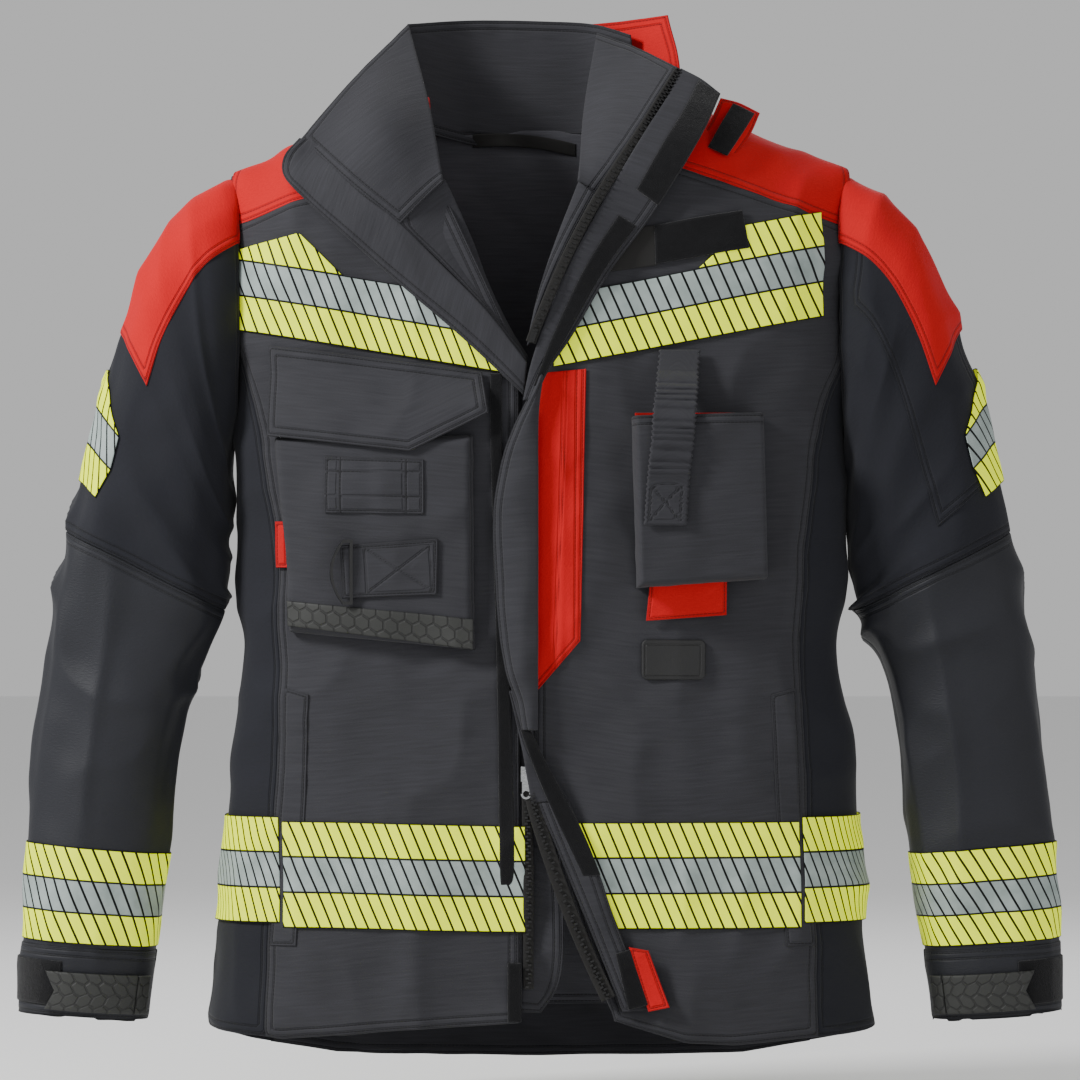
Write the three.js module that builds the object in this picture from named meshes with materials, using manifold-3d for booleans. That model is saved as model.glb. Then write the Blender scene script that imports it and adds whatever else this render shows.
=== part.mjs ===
// Turnout coat, size L, hanging upright from its collar loop.
// Millimetres, +Z up, the front faces -Y and +X is on the right of someone facing the coat.
// The origin is on the hanger loop at the inside back neck.

import * as THREE from 'three';
import { mergeVertices } from 'three/addons/utils/BufferGeometryUtils.js';
import Module from 'manifold-3d';

const wasm = await Module();
wasm.setup();

// ---- Driving dimensions of the body --------------------------------------------------------

const CHEST_HALF = 260;        // half width at the armholes
const TAIL_Z = -817;           // lowest point of the back tail
const MID_Y = -70;             // plane of the side seams and shoulder ridges
const SECTION_POWER = 2.6;     // roundness of the body's cross section
const WALL = 3.5;              // shell, membrane and lining together
const SEAM = 0.4;              // gap kept between two panels that are sewn together
const TRIM = 1;                // thickness of sewn-on tapes and patches
const TRIM_GAP = 0.6;          // gap between a panel and the tape on it
const LIFT = 0.6;              // the same gap on the tighter curves of a sleeve
const REACH = 400;             // half length of the blocks that cut outlines

// Height, extra half width, and depth of the front and the back from the side seams.
const BODY_STATIONS = [
  { z: 40, flare: 0, front: 62, back: 83 },
  { z: -90, flare: 0, front: 80, back: 88 },
  { z: -270, flare: -2, front: 90, back: 92 },
  { z: -400, flare: -1, front: 92, back: 90 },
  { z: TAIL_Z + 305, flare: 10, front: 90, back: 88 },
  { z: TAIL_Z + 135, flare: 27, front: 92, back: 92 },
  { z: TAIL_Z, flare: 37, front: 95, back: 97 },
];

const neck = {
  point: 97, frontZ: -25, backZ: 5, ridgeZ: 30, ridgeX: 123, ridgeFall: 0.45, vZ: -195, turnX: 52, turnZ: -56,
};
const shoulder = { edgeRound: 70, neckRound: 25 };
const armhole = { x: CHEST_HALF - 10, bottom: -272 };
const hem = { centre: TAIL_Z + 44, low: TAIL_Z + 28, side: TAIL_Z + 36, lowX: 227 };
const zip = { x: -12, half: 6, bottom: TAIL_Z + 80, openZ: -560, splayX: 64, toothProud: 0.6 };

// ---- Small mathematics ---------------------------------------------------------------------

const lerp = THREE.MathUtils.lerp;
const clamp = THREE.MathUtils.clamp;

function along(stations, key, z) {
  for (let k = 1; k < stations.length; k += 1) {
    const above = stations[k - 1];
    const below = stations[k];
    if (z >= below.z || k === stations.length - 1) {
      const share = clamp((above.z - z) / (above.z - below.z), 0, 1);
      return lerp(above[key], below[key], share);
    }
  }
  return stations[0][key];
}

const halfWidth = (z) => CHEST_HALF + along(BODY_STATIONS, 'flare', z);

function ridgeZ(x) {
  const out = Math.abs(x) - neck.ridgeX;
  return neck.ridgeZ - (out > 0 ? neck.ridgeFall * out : 0.1 * out);
}

function ridgeRound(x) {
  return lerp(shoulder.neckRound, shoulder.edgeRound, clamp(Math.abs(x) / neck.ridgeX, 0, 1));
}

// The body's outer surface: front or back, at a place across and a height.
function bodyPoint(face, x, z) {
  const share = Math.min(Math.abs(x) / halfWidth(z), 1);
  const section = (1 - share ** SECTION_POWER) ** (1 / SECTION_POWER);
  const fall = clamp((ridgeZ(x) - z) / ridgeRound(x), 0, 1);
  const crown = Math.sqrt(1 - (1 - fall) ** 2);
  const depth = along(BODY_STATIONS, face, z) * section * crown;
  return new THREE.Vector3(x, face === 'front' ? MID_Y - depth : MID_Y + depth, z);
}

// The direction that points out of the coat there.
function bodyNormal(face, x, z) {
  const step = 1.5;
  const limit = halfWidth(z) - 2 * step;
  const at = clamp(x, -limit, limit);
  const across = bodyPoint(face, at + step, z).sub(bodyPoint(face, at - step, z));
  const down = bodyPoint(face, at, z - step).sub(bodyPoint(face, at, z + step));
  const normal = new THREE.Vector3().crossVectors(across, down).normalize();
  return (face === 'front') === (normal.y < 0) ? normal : normal.negate();
}

// A point a little way off the body.
function on(x, z, off = 0, face = 'front') {
  return bodyPoint(face, x, z).addScaledVector(bodyNormal(face, x, z), off);
}

// Once round the body: 0 front centre, 1 right side, 2 back centre, 3 left side.
function roundPlace(turn, z) {
  const quarter = ((turn % 4) + 4) % 4;
  const angle = quarter * Math.PI / 2;
  return { face: Math.cos(angle) >= 0 ? 'front' : 'back', x: halfWidth(z) * Math.sin(angle) };
}

// ---- Solids --------------------------------------------------------------------------------

function bareGeometry(positions, index) {
  const geometry = new THREE.BufferGeometry();
  geometry.setAttribute('position', new THREE.Float32BufferAttribute(positions, 3));
  geometry.setIndex(index);
  return geometry;
}

function signedVolume(points, index) {
  let total = 0;
  for (let k = 0; k < index.length; k += 3) {
    const [a, b, c] = [points[index[k]], points[index[k + 1]], points[index[k + 2]]];
    total += a.dot(new THREE.Vector3().crossVectors(b, c));
  }
  return total;
}

// A closed wall between two grids of points, open at its four edges or joined round in a ring.
function wallBetween(outer, inner, ring = false) {
  const columns = outer.length;
  const rows = outer[0].length;
  const points = [...outer.flat(), ...inner.flat()];
  const id = (side, i, j) => side * columns * rows + (i % columns) * rows + j;
  const index = [];
  const quad = (a, b, c, d) => index.push(a, b, c, a, c, d);
  const last = ring ? columns : columns - 1;
  for (let i = 0; i < last; i += 1) {
    for (let j = 0; j < rows - 1; j += 1) {
      quad(id(0, i, j), id(0, i + 1, j), id(0, i + 1, j + 1), id(0, i, j + 1));
      quad(id(1, i, j + 1), id(1, i + 1, j + 1), id(1, i + 1, j), id(1, i, j));
    }
    quad(id(1, i, 0), id(1, i + 1, 0), id(0, i + 1, 0), id(0, i, 0));
    quad(id(0, i, rows - 1), id(0, i + 1, rows - 1), id(1, i + 1, rows - 1), id(1, i, rows - 1));
  }
  if (!ring) {
    for (let j = 0; j < rows - 1; j += 1) {
      quad(id(0, 0, j), id(0, 0, j + 1), id(1, 0, j + 1), id(1, 0, j));
      quad(id(0, last, j + 1), id(0, last, j), id(1, last, j), id(1, last, j + 1));
    }
  }
  if (signedVolume(points, index) < 0) {
    index.reverse();
  }
  return bareGeometry(points.flatMap((p) => [p.x, p.y, p.z]), index);
}

// A sheet through a small net of points, smoothed along both ways and thickened outwards.
// A strip sewn on a sheet takes the sheet's own net, a part of it and a lift.
function sheet(net, thickness, across = 4, down = 4, { u = [0, 1], w = [0, 1], lift = 0 } = {}) {
  const curve = (points) => new THREE.CatmullRomCurve3(points, false, 'centripetal');
  const rows = net.map((row) => curve(row));
  const place = (a, b) => curve(rows.map((row) => row.getPoint(clamp(a, 0, 1)))).getPoint(clamp(b, 0, 1));
  const normalAt = (a, b) => {
    const du = place(a + 0.02, b).sub(place(a - 0.02, b));
    const dv = place(a, b + 0.02).sub(place(a, b - 0.02));
    return du.cross(dv).normalize();
  };
  const sense = normalAt(0.5, 0.5).y < 0 ? 1 : -1;
  const grid = (off) => Array.from({ length: across + 1 }, (_, i) => Array.from({ length: down + 1 }, (_, j) => {
    const [a, b] = [lerp(u[0], u[1], i / across), lerp(w[0], w[1], j / down)];
    return place(a, b).addScaledVector(normalAt(a, b), sense * off);
  }));
  return wallBetween(grid(lift + thickness), grid(lift));
}

// A panel on the front or back between two sides and two ends, given as functions.
function patch({ face = 'front', left, right, top, bottom, off = TRIM_GAP, thick = TRIM, columns = 4, rows = 3 }) {
  const grid = (lift) => Array.from({ length: columns + 1 }, (_, i) => Array.from({ length: rows + 1 }, (_, j) => {
    const u = i / columns;
    const v = j / rows;
    const middle = lerp(left(0.5), right(0.5), u);
    const z = lerp(top(middle), bottom(middle), v);
    return on(lerp(left(v), right(v), u), z, lift, face);
  }));
  return wallBetween(grid(off + thick), grid(off));
}

const level = (value) => () => value;
const slope = (x0, z0, x1, z1) => (x) => lerp(z0, z1, (x - x0) / (x1 - x0));

function toSolid(geometry) {
  const bare = geometry.clone();
  bare.deleteAttribute('normal');
  bare.deleteAttribute('uv');
  const merged = mergeVertices(bare, 1e-5);
  return new wasm.Manifold(new wasm.Mesh({
    numProp: 3,
    vertProperties: new Float32Array(merged.attributes.position.array),
    triVerts: new Uint32Array(merged.index.array),
  }));
}

// The mesh of a solid, without the slivers that a cut along a shared face may leave.
function fromSolid(solid) {
  const bodies = solid.decompose().sort((a, b) => b.volume() - a.volume());
  const mesh = bodies[0].getMesh();
  return bareGeometry(Array.from(mesh.vertProperties), Array.from(mesh.triVerts));
}

// A block with an outline in the XZ plane, long enough to pass through the whole coat.
function outlineBlock(points) {
  const shape = new THREE.Shape(points.map(([x, z]) => new THREE.Vector2(x, z)));
  const block = new THREE.ExtrudeGeometry(shape, { depth: 2 * REACH, bevelEnabled: false });
  block.rotateX(Math.PI / 2);
  block.translate(0, REACH, 0);
  return block;
}

function boxAt(width, depth, height, x, y, z) {
  return new THREE.BoxGeometry(width, depth, height).translate(x, y, z);
}

// ---- The body's shared lattice, so that neighbouring panels have matching facets -----------

const LATTICE = { quarter: 8, roundRows: 3, longRows: 13, bottom: TAIL_Z - 10 };

function latticePoint(turnStep, row) {
  const first = roundPlace(turnStep / LATTICE.quarter, 0);
  const top = ridgeZ(first.x);
  const round = ridgeRound(first.x);
  const z = row <= LATTICE.roundRows
    ? top - round * (1 - Math.cos((0.25 + 0.75 * row / LATTICE.roundRows) * Math.PI / 2))
    : lerp(top - round, LATTICE.bottom, (row - LATTICE.roundRows) / LATTICE.longRows);
  const place = roundPlace(turnStep / LATTICE.quarter, z);
  return { point: bodyPoint(place.face, place.x, z), normal: bodyNormal(place.face, place.x, z) };
}

// A stretch of the body's wall, cut to an outline seen from the front.
function bodyPanel(firstTurn, lastTurn, outline, outerOff = 0, thick = WALL) {
  const rows = LATTICE.roundRows + LATTICE.longRows;
  const first = Math.round(firstTurn * LATTICE.quarter);
  const last = Math.round(lastTurn * LATTICE.quarter);
  const grid = (lift) => Array.from({ length: last - first + 1 }, (_, i) => Array.from({ length: rows + 1 }, (_, j) => {
    const { point, normal } = latticePoint(first + i, j);
    return point.addScaledVector(normal, lift);
  }));
  const wall = toSolid(wallBetween(grid(outerOff), grid(outerOff - thick)));
  return fromSolid(wall.intersect(toSolid(outlineBlock(outline))));
}

// ---- The scene -----------------------------------------------------------------------------

const FINISHES = {
  charcoal: { color: 0x39393d, roughness: 0.85, metalness: 0 },
  navy: { color: 0x222329, roughness: 0.9, metalness: 0 },
  coated: { color: 0x27282d, roughness: 0.6, metalness: 0 },
  red: { color: 0xd8242c, roughness: 0.85, metalness: 0 },
  reflective: { color: 0xe6f02a, roughness: 0.5, metalness: 0 },
  rubber: { color: 0x2f312d, roughness: 0.7, metalness: 0 },
  hook: { color: 0x0d0d0d, roughness: 1, metalness: 0 },
  tape: { color: 0x1e1b19, roughness: 0.95, metalness: 0 },
  zipper: { color: 0x111113, roughness: 0.5, metalness: 0 },
  metal: { color: 0xb8bcbf, roughness: 0.3, metalness: 1 },
};

const coat = new THREE.Group();

function add(name, geometry, finish, parent = coat) {
  const mesh = new THREE.Mesh(geometry, new THREE.MeshStandardMaterial(FINISHES[finish]));
  mesh.name = name;
  parent.add(mesh);
  return mesh;
}

// ---- Body panels ---------------------------------------------------------------------------

// How far the front panel's side seam lies inside the coat's side, down the body.
const SEAM_STATIONS = [
  { z: armhole.bottom, inset: 18 },
  { z: -363, inset: 30 },
  { z: -489, inset: 44 },
  { z: TAIL_Z + 112, inset: 52 },
  { z: TAIL_Z - 20, inset: 55 },
];
const sideSeamX = (z) => halfWidth(z) - along(SEAM_STATIONS, 'inset', z);
const yokeSeamZ = (x) => -34 - 0.33 * (Math.abs(x) - neck.ridgeX);

function sideSeam(sense, shift, bottomZ) {
  const heights = [armhole.bottom, -330, -400, -489, -600, TAIL_Z + 112, bottomZ];
  return heights.map((z) => [sense * (sideSeamX(z) + shift), z]);
}

function frontPanel(sense) {
  const centre = sense < 0
    ? [[zip.x - zip.half, hem.centre], [zip.x - zip.half, neck.vZ]]
    : [[zip.splayX, hem.centre], [zip.x + zip.half, zip.openZ], [zip.x + zip.half, neck.vZ], [neck.turnX, neck.turnZ]];
  const outline = [
    ...centre,
    [sense * neck.point, neck.frontZ - SEAM],
    [sense * neck.ridgeX, yokeSeamZ(neck.ridgeX) - SEAM],
    [sense * armhole.x, yokeSeamZ(armhole.x) - SEAM],
    ...sideSeam(sense, -SEAM / 2, hem.low),
    [sense * hem.lowX, hem.low - 1],
  ];
  const turns = sense < 0 ? [-1, 0] : [-0.1, 1];
  return bodyPanel(turns[0], turns[1], outline);
}

add('front_panel_left', frontPanel(-1), 'charcoal');
add('front_panel_right', frontPanel(1), 'charcoal');

function sidePanel(sense) {
  const edge = CHEST_HALF * 1.5;
  const outline = [
    ...sideSeam(sense, SEAM / 2, hem.low + 1),
    [sense * (CHEST_HALF + 36), hem.side],
    [sense * edge, hem.side],
    [sense * edge, armhole.bottom - 4],
    [sense * (sideSeamX(armhole.bottom - 4) + SEAM / 2), armhole.bottom - 4],
  ];
  outline[0] = [outline[0][0], armhole.bottom - 4];
  outline.pop();
  return bodyPanel(sense < 0 ? 2.4 : 0.4, sense < 0 ? 3.6 : 1.6, outline);
}

add('side_panel_left', sidePanel(-1), 'navy');
add('side_panel_right', sidePanel(1), 'navy');

const backTop = [[-neck.point, neck.backZ + 12], [-50, neck.backZ + 3], [0, neck.backZ], [50, neck.backZ + 3], [neck.point, neck.backZ + 12]];
const backOutline = [
  ...backTop,
  [neck.point, neck.frontZ - SEAM],
  [neck.ridgeX, yokeSeamZ(neck.ridgeX) - SEAM],
  [armhole.x, yokeSeamZ(armhole.x) - SEAM],
  ...sideSeam(1, -SEAM / 2, TAIL_Z + 14),
  [120, TAIL_Z + 3],
  [0, TAIL_Z],
  [-120, TAIL_Z + 3],
  ...sideSeam(-1, -SEAM / 2, TAIL_Z + 14).reverse(),
  [-armhole.x, yokeSeamZ(armhole.x) - SEAM],
  [-neck.ridgeX, yokeSeamZ(neck.ridgeX) - SEAM],
  [-neck.point, neck.frontZ - SEAM],
];
add('back_panel', bodyPanel(1, 3, backOutline), 'charcoal');

const lining = { half: 205, bottom: hem.side + 12 };
add('back_lining', patch({
  face: 'back',
  left: level(-lining.half),
  right: level(lining.half),
  top: (x) => (Math.abs(x) < neck.point ? neck.backZ - 3 : yokeSeamZ(x) - 4),
  bottom: level(lining.bottom),
  off: -WALL - 2.9,
  thick: TRIM,
  columns: 10,
  rows: 9,
}), 'charcoal');

// A yoke is one saddle that runs over the shoulder ridge from the front seam to the back seam.
function yoke(sense) {
  const columns = 6;
  const rows = 10;
  const edge = CHEST_HALF - SEAM;
  const saddle = (x, tilt) => {
    const z = ridgeZ(x) - ridgeRound(x) * (1 - Math.cos(tilt));
    const face = tilt < 0 ? 'front' : 'back';
    const depth = along(BODY_STATIONS, face, z) * (1 - (x / CHEST_HALF) ** SECTION_POWER) ** (1 / SECTION_POWER);
    return new THREE.Vector3(sense * x, MID_Y + depth * Math.sin(tilt), z);
  };
  const place = (u, v) => saddle(lerp(neck.point, edge, u), (2 * v - 1) * Math.PI / 2);
  const grid = (lift) => Array.from({ length: columns + 1 }, (_, i) => Array.from({ length: rows + 1 }, (_, j) => {
    const [u, v] = [i / columns, j / rows];
    const du = place(Math.min(u + 0.02, 1), v).sub(place(Math.max(u - 0.02, 0), v));
    const dv = place(u, Math.min(v + 0.02, 1)).sub(place(u, Math.max(v - 0.02, 0)));
    const normal = du.cross(dv).normalize();
    const outwards = normal.dot(place(u, v).sub(new THREE.Vector3(sense * armhole.x, MID_Y, -2 * shoulder.edgeRound)));
    return place(u, v).addScaledVector(normal, outwards < 0 ? -lift : lift);
  }));
  const outline = [
    [sense * neck.point, yokeSeamZ(neck.point) + SEAM],
    [sense * (edge + 1), yokeSeamZ(edge + 1) + SEAM],
    [sense * (edge + 1), REACH],
    [sense * neck.point, REACH],
  ];
  return fromSolid(toSolid(wallBetween(grid(0), grid(-WALL))).intersect(toSolid(outlineBlock(outline))));
}

add('yoke_left', yoke(-1), 'red');
add('yoke_right', yoke(1), 'red');

// ---- Hanger loop ---------------------------------------------------------------------------

const hanger = { left: -60, right: 32, leftZ: 0, rightZ: -9, width: 11, stand: 7 };

function hangerLoop() {
  const steps = 10;
  const grid = (lift) => Array.from({ length: steps + 1 }, (_, i) => [-0.5, 0.5].map((side) => {
    const share = i / steps;
    const x = lerp(hanger.left, hanger.right, share);
    const z = lerp(hanger.leftZ, hanger.rightZ, share) + side * hanger.width;
    const bow = Math.sin(Math.PI * share) ** 0.5;
    const wallY = bodyPoint('back', x, neck.backZ).y - WALL - 2 - TRIM / 2;
    return new THREE.Vector3(x, wallY - bow * hanger.stand - lift, z);
  }));
  return wallBetween(grid(TRIM_GAP), grid(TRIM_GAP + 1.2));
}

add('hanger_loop', hangerLoop(), 'tape');

// ---- Collar --------------------------------------------------------------------------------

const collar = { lining: 2, shell: 2.5, gap: 0.6, top: 105 };
const v = (x, y, z) => new THREE.Vector3(x, y, z);

function collarNet(back, rise, wide) {
  return [
    [v(-wide - 8, -24 + back, collar.top - 10 + rise), v(-62, 6 + back, collar.top - 1 + rise),
      v(0, 14 + back, collar.top + rise), v(60, 6 + back, collar.top + rise), v(wide + 5, -24 + back, collar.top + rise)],
    [v(-wide + 2, -26 + back, 50), v(-60, 5 + back, 50), v(0, 12 + back, 50), v(60, 5 + back, 50), v(wide, -26 + back, 50)],
    [v(-wide + 7, -28 + back, 23), v(-56, 4 + back, 10), v(0, 10 + back, neck.backZ + 1),
      v(56, 4 + back, 10), v(wide - 7, -28 + back, 23)],
  ];
}

add('collar_lining', sheet(collarNet(0, 0, 102), collar.lining, 8, 4), 'charcoal');
add('collar_shell', sheet(collarNet(collar.gap + collar.shell, 3, 108), collar.shell, 8, 4), 'red');

const leafRight = [
  [v(44, -12.5, 90), v(84, -46.5, 74), v(119.6, -91.1, 57)],
  [v(38, -72.5, 24), v(62, -112.5, 10), v(86.6, -135.3, 2)],
  [on(33, -44, 2.5), on(41, -49, 2), on(50, -55, 1.5)],
];
add('collar_leaf_right', sheet(leafRight, 3, 4, 5), 'charcoal');

const leafLeft = [
  [v(-116.9, -29.1, 91.1), v(-163.9, -75.1, 44.1), v(-208.9, -105.1, -4.9)],
  [v(-93.9, -118.1, 13.1), v(-135.9, -143.1, -0.9), on(-166.9, -46.9, 6.1)],
  [on(-83.9, -46.9, 13.1), on(-101.9, -64.9, 12.1), on(-120.9, -82.9, 9.1)],
];
add('collar_leaf_left', sheet(leafLeft, 4, 5, 5), 'charcoal');

// ---- Left lapel ----------------------------------------------------------------------------

const lapelLift = 4;
const lapelLeft = [
  [on(-205, -30, lapelLift + 2), on(-214, -42, lapelLift + 1), on(-206, -57, lapelLift)],
  [on(-164, -62, lapelLift), on(-168, -78, lapelLift), on(-170, -92, lapelLift)],
  [on(-118, -92, lapelLift), on(-121, -110, lapelLift), on(-129, -128, lapelLift)],
  [on(-66, -100, lapelLift), on(-76, -132, lapelLift), on(-74, -176, lapelLift)],
  [on(-16, -190, lapelLift), on(-22, -200, lapelLift), on(-24, -216, lapelLift)],
];
add('lapel_left', sheet(lapelLeft, 3, 4, 12), 'charcoal');

// ---- Centre front --------------------------------------------------------------------------

const placket = { left: zip.x + zip.half + 3.5, right: 40, top: -216, bottomLeft: -488, bottomRight: -440 };
add('red_placket', patch({
  left: level(placket.left),
  right: level(placket.right),
  top: level(placket.top),
  bottom: slope(placket.left, placket.bottomLeft, placket.right, placket.bottomRight),
  columns: 3,
  rows: 8,
}), 'red');

const underFlap = { left: zip.x - zip.half + 1, right: 16, top: -215, bottom: TAIL_Z + 58 };
add('under_flap', patch({
  left: level(underFlap.left),
  right: level(underFlap.right),
  top: level(underFlap.top),
  bottom: level(underFlap.bottom),
  off: -WALL - 2.5,
  thick: 1.6,
  columns: 3,
  rows: 14,
}), 'charcoal');

function zipHalf(sense, bottom) {
  const edges = [zip.x + sense * 0.3, zip.x + sense * (zip.half - 0.4)].sort((a, b) => a - b);
  return patch({
    left: level(edges[0]),
    right: level(edges[1]),
    top: level(neck.vZ - 4),
    bottom: level(bottom),
    off: -2,
    thick: 2 + zip.toothProud,
    columns: 1,
    rows: 14,
  });
}
add('zip_half_left', zipHalf(-1, zip.bottom), 'zipper');
add('zip_half_right', zipHalf(1, zip.openZ), 'zipper');

const zipTail = [
  [on(zip.x + 5, zip.openZ - 5, 2.5), on(zip.x + 11, zip.openZ - 3, 2.5)],
  [on(12, -635, 2.5), on(18, -632, 2.5)],
  [on(36, -697, 2.5), on(42, -694, 2.5)],
  [on(57, TAIL_Z + 68, 2.5), on(63, TAIL_Z + 70, 2.5)],
];
add('zip_tail_right', sheet(zipTail, 1.4, 1, 9), 'zipper');

const zipLapel = [
  [v(121, -95, 54), v(127, -94.4, 57)],
  [v(104, -119, 28), v(112, -119.4, 31)],
  [v(88, -138, 2), v(96, -139, 4)],
  [on(51.5, -54, 5), on(58.6, -51, 5)],
  [on(20, -112, 5), on(27.6, -109, 5)],
  [on(-7, -176, 5), on(0.6, -174, 5)],
];
add('zip_lapel_right', sheet(zipLapel, 1.4, 1, 12), 'zipper');

// The storm flap bridges the closed zip like a tunnel, so that the sliders run under it.
const tunnel = { left: -36, height: 10.5, top: -232, bottom: -510 };
function tunnelRow(z) {
  return [
    on(tunnel.left, z, 4.4),
    on(tunnel.left + 7, z, 7.5),
    on(zip.x - 8, z, tunnel.height),
    on(zip.x + 5, z, tunnel.height),
    on(zip.x + 8, z, 3),
  ];
}
const flapMiddle = [tunnelRow(tunnel.top), tunnelRow(-330), tunnelRow(-430), tunnelRow(tunnel.bottom)];
add('storm_flap_middle', sheet(flapMiddle, 1.6, 8, 9), 'charcoal');

const upperFlap = [
  [v(129, -102, 55), v(142, -106, 46), v(158, -108, 34)],
  [v(114, -128, 28), v(128, -134, 18), v(143, -140, 4)],
  [v(98, -147, 2), v(112, -152, -10), v(128, -156, -26)],
  [on(60, -54, 7), on(76, -66, 6.5), on(92, -80, 6)],
  [on(29, -110, 7), on(42, -116, 6.5), on(58, -126, 6)],
  [on(2, -174, 7), on(14, -178, 6.5), on(25, -184, 6)],
  [on(-8, -231.5, 10), on(-2, -231.5, 10), on(6, -231.5, 8)],
];
add('storm_flap_upper', sheet(upperFlap, 2, 3, 12), 'charcoal');

const lowerFlap = [
  [on(4, -600, 4.6), on(20, -599, 4.6), on(35, -598, 4.6)],
  [on(18, -638, 4.6), on(34, -636, 4.6), on(49, -634, 4.6)],
  [on(43, -697, 4.6), on(54, -692, 4.6), on(65, -686, 4.6)],
  [on(66, TAIL_Z + 62, 4.6), on(80, TAIL_Z + 60, 4.6), on(94, TAIL_Z + 58, 4.6)],
];
add('storm_flap_lower', sheet(lowerFlap, 2, 4, 9), 'charcoal');

const twistFlap = [
  [on(-28, -513, 4), on(-14, -513, 8), on(-3, -513, 8)],
  [on(-6, -540, 9), on(2, -540, 9), on(8, -541, 6)],
  [on(0, -570, 8), on(10, -570, 8), on(20, -571, 5)],
  [on(3, -596, 5), on(18, -595, 5), on(33, -594, 5)],
];
add('storm_flap_turn', sheet(twistFlap, 1.8, 4, 8), 'charcoal');

const strip = { long: [-36, -24, -209, -655], hookThick: 1.2 };
add('loop_strip_long', patch({
  left: level(strip.long[0]),
  right: level(strip.long[1]),
  top: level(strip.long[2]),
  bottom: level(strip.long[3]),
  off: 2.1,
  thick: 0.9,
  columns: 1,
  rows: 16,
}), 'hook');

add('hook_strip_upper', sheet(upperFlap, strip.hookThick, 1, 8, { u: [0.3, 0.78], w: [0.05, 0.56], lift: 3.2 }), 'hook');

const pullTab = [
  [on(72, -709, 7.6), on(91, -711, 7)],
  [on(90, TAIL_Z + 62, 7.6), on(110, TAIL_Z + 60, 7)],
];
add('flap_pull_tab', sheet(pullTab, 1.4, 2, 4), 'red');

// ---- Zip sliders ---------------------------------------------------------------------------

const slider = { width: 9, length: 13, depth: 4, puller: 24, lowerZ: -558, upperZ: -262, off: 1.2 };

function sliderSolid(z) {
  const surface = bodyPoint('front', zip.x, z).y - slider.off;
  const body = boxAt(slider.width, slider.depth, slider.length, zip.x, surface - slider.depth / 2, z);
  const shape = new THREE.Shape();
  const half = 3.4;
  shape.absarc(0, 0, half, 0, Math.PI, false);
  shape.lineTo(-half, -slider.puller + 6);
  shape.absarc(0, -slider.puller + 6, half + 1.2, Math.PI, 2 * Math.PI, false);
  const eye = new THREE.Path();
  eye.absarc(0, -slider.puller + 6, half - 0.6, 0, 2 * Math.PI, true);
  shape.holes.push(eye);
  const puller = new THREE.ExtrudeGeometry(shape, { depth: 1.6, bevelEnabled: false, curveSegments: 6 });
  puller.rotateX(Math.PI / 2);
  puller.translate(zip.x, surface - slider.depth + 0.2, z + 1);
  return fromSolid(toSolid(body).add(toSolid(puller)));
}
add('zip_slider_lower', sliderSolid(slider.lowerZ), 'metal');
add('zip_slider_upper', sliderSolid(slider.upperZ), 'metal');

// ---- Tapes and patches on the fronts -------------------------------------------------------

const chestBand = { outer: 246, inner: 48, bottom: -172, fall: 0.158, height: 69, backTop: -190 };
const bandOff = TRIM_GAP + TRIM;
const bandBottom = (x) => chestBand.bottom - (chestBand.outer - Math.abs(x)) * chestBand.fall;

const chestBandLeft = [
  [-chestBand.outer, bandBottom(-chestBand.outer) + chestBand.height],
  [-206, bandBottom(-206) + chestBand.height - 2],
  [-170, bandBottom(-170) + 46],
  [-chestBand.inner, bandBottom(-chestBand.inner) + 26],
  [-chestBand.inner, bandBottom(-chestBand.inner)],
  [-chestBand.outer + 6, bandBottom(-chestBand.outer + 6)],
];
add('chest_band_left', bodyPanel(-1, 0, chestBandLeft, bandOff, TRIM), 'reflective');

const rightBand = { outer: 241, inner: 12, bottom: -162, fall: 0.193, height: 71 };
const rightBottom = (x) => rightBand.bottom - (rightBand.outer - x) * rightBand.fall;
const chestBandRight = [
  [rightBand.inner, rightBottom(rightBand.inner) + 23],
  [28, rightBottom(28) + 46],
  [137, rightBottom(137) + 47],
  [178, rightBottom(178) + 66],
  [rightBand.outer, rightBottom(rightBand.outer) + rightBand.height],
  [rightBand.outer + 2, rightBottom(rightBand.outer)],
  [rightBand.inner, rightBottom(rightBand.inner)],
];
add('chest_band_right', bodyPanel(0, 1, chestBandRight, bandOff, TRIM), 'reflective');

function straightBand(left, right, top, height) {
  return [[left, top], [right, top], [right, top - height], [left, top - height]];
}
const backBand = straightBand(-chestBand.outer + 2, chestBand.outer - 2, chestBand.backTop, chestBand.height);
add('chest_band_back', bodyPanel(1, 3, backBand, bandOff, TRIM), 'reflective');

const hemBand = { height: 92, top: TAIL_Z + 217, sideRise: 4, seamGap: 3 };
const seamAtBand = sideSeamX(hemBand.top - hemBand.height / 2);
const splayAt = (z) => lerp(zip.x + zip.half, zip.splayX, (z - zip.openZ) / (hem.centre - zip.openZ));
const bandLeft = straightBand(-seamAtBand + hemBand.seamGap, zip.x - zip.half - 0.6, hemBand.top, hemBand.height);
add('hem_band_left', bodyPanel(-1, 0, bandLeft, bandOff, TRIM), 'reflective');
const bandRight = straightBand(0, seamAtBand - hemBand.seamGap, hemBand.top, hemBand.height);
bandRight[0][0] = splayAt(hemBand.top) + 1;
bandRight[3][0] = splayAt(hemBand.top - hemBand.height) + 1;
add('hem_band_right', bodyPanel(0, 1, bandRight, bandOff, TRIM), 'reflective');

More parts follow.
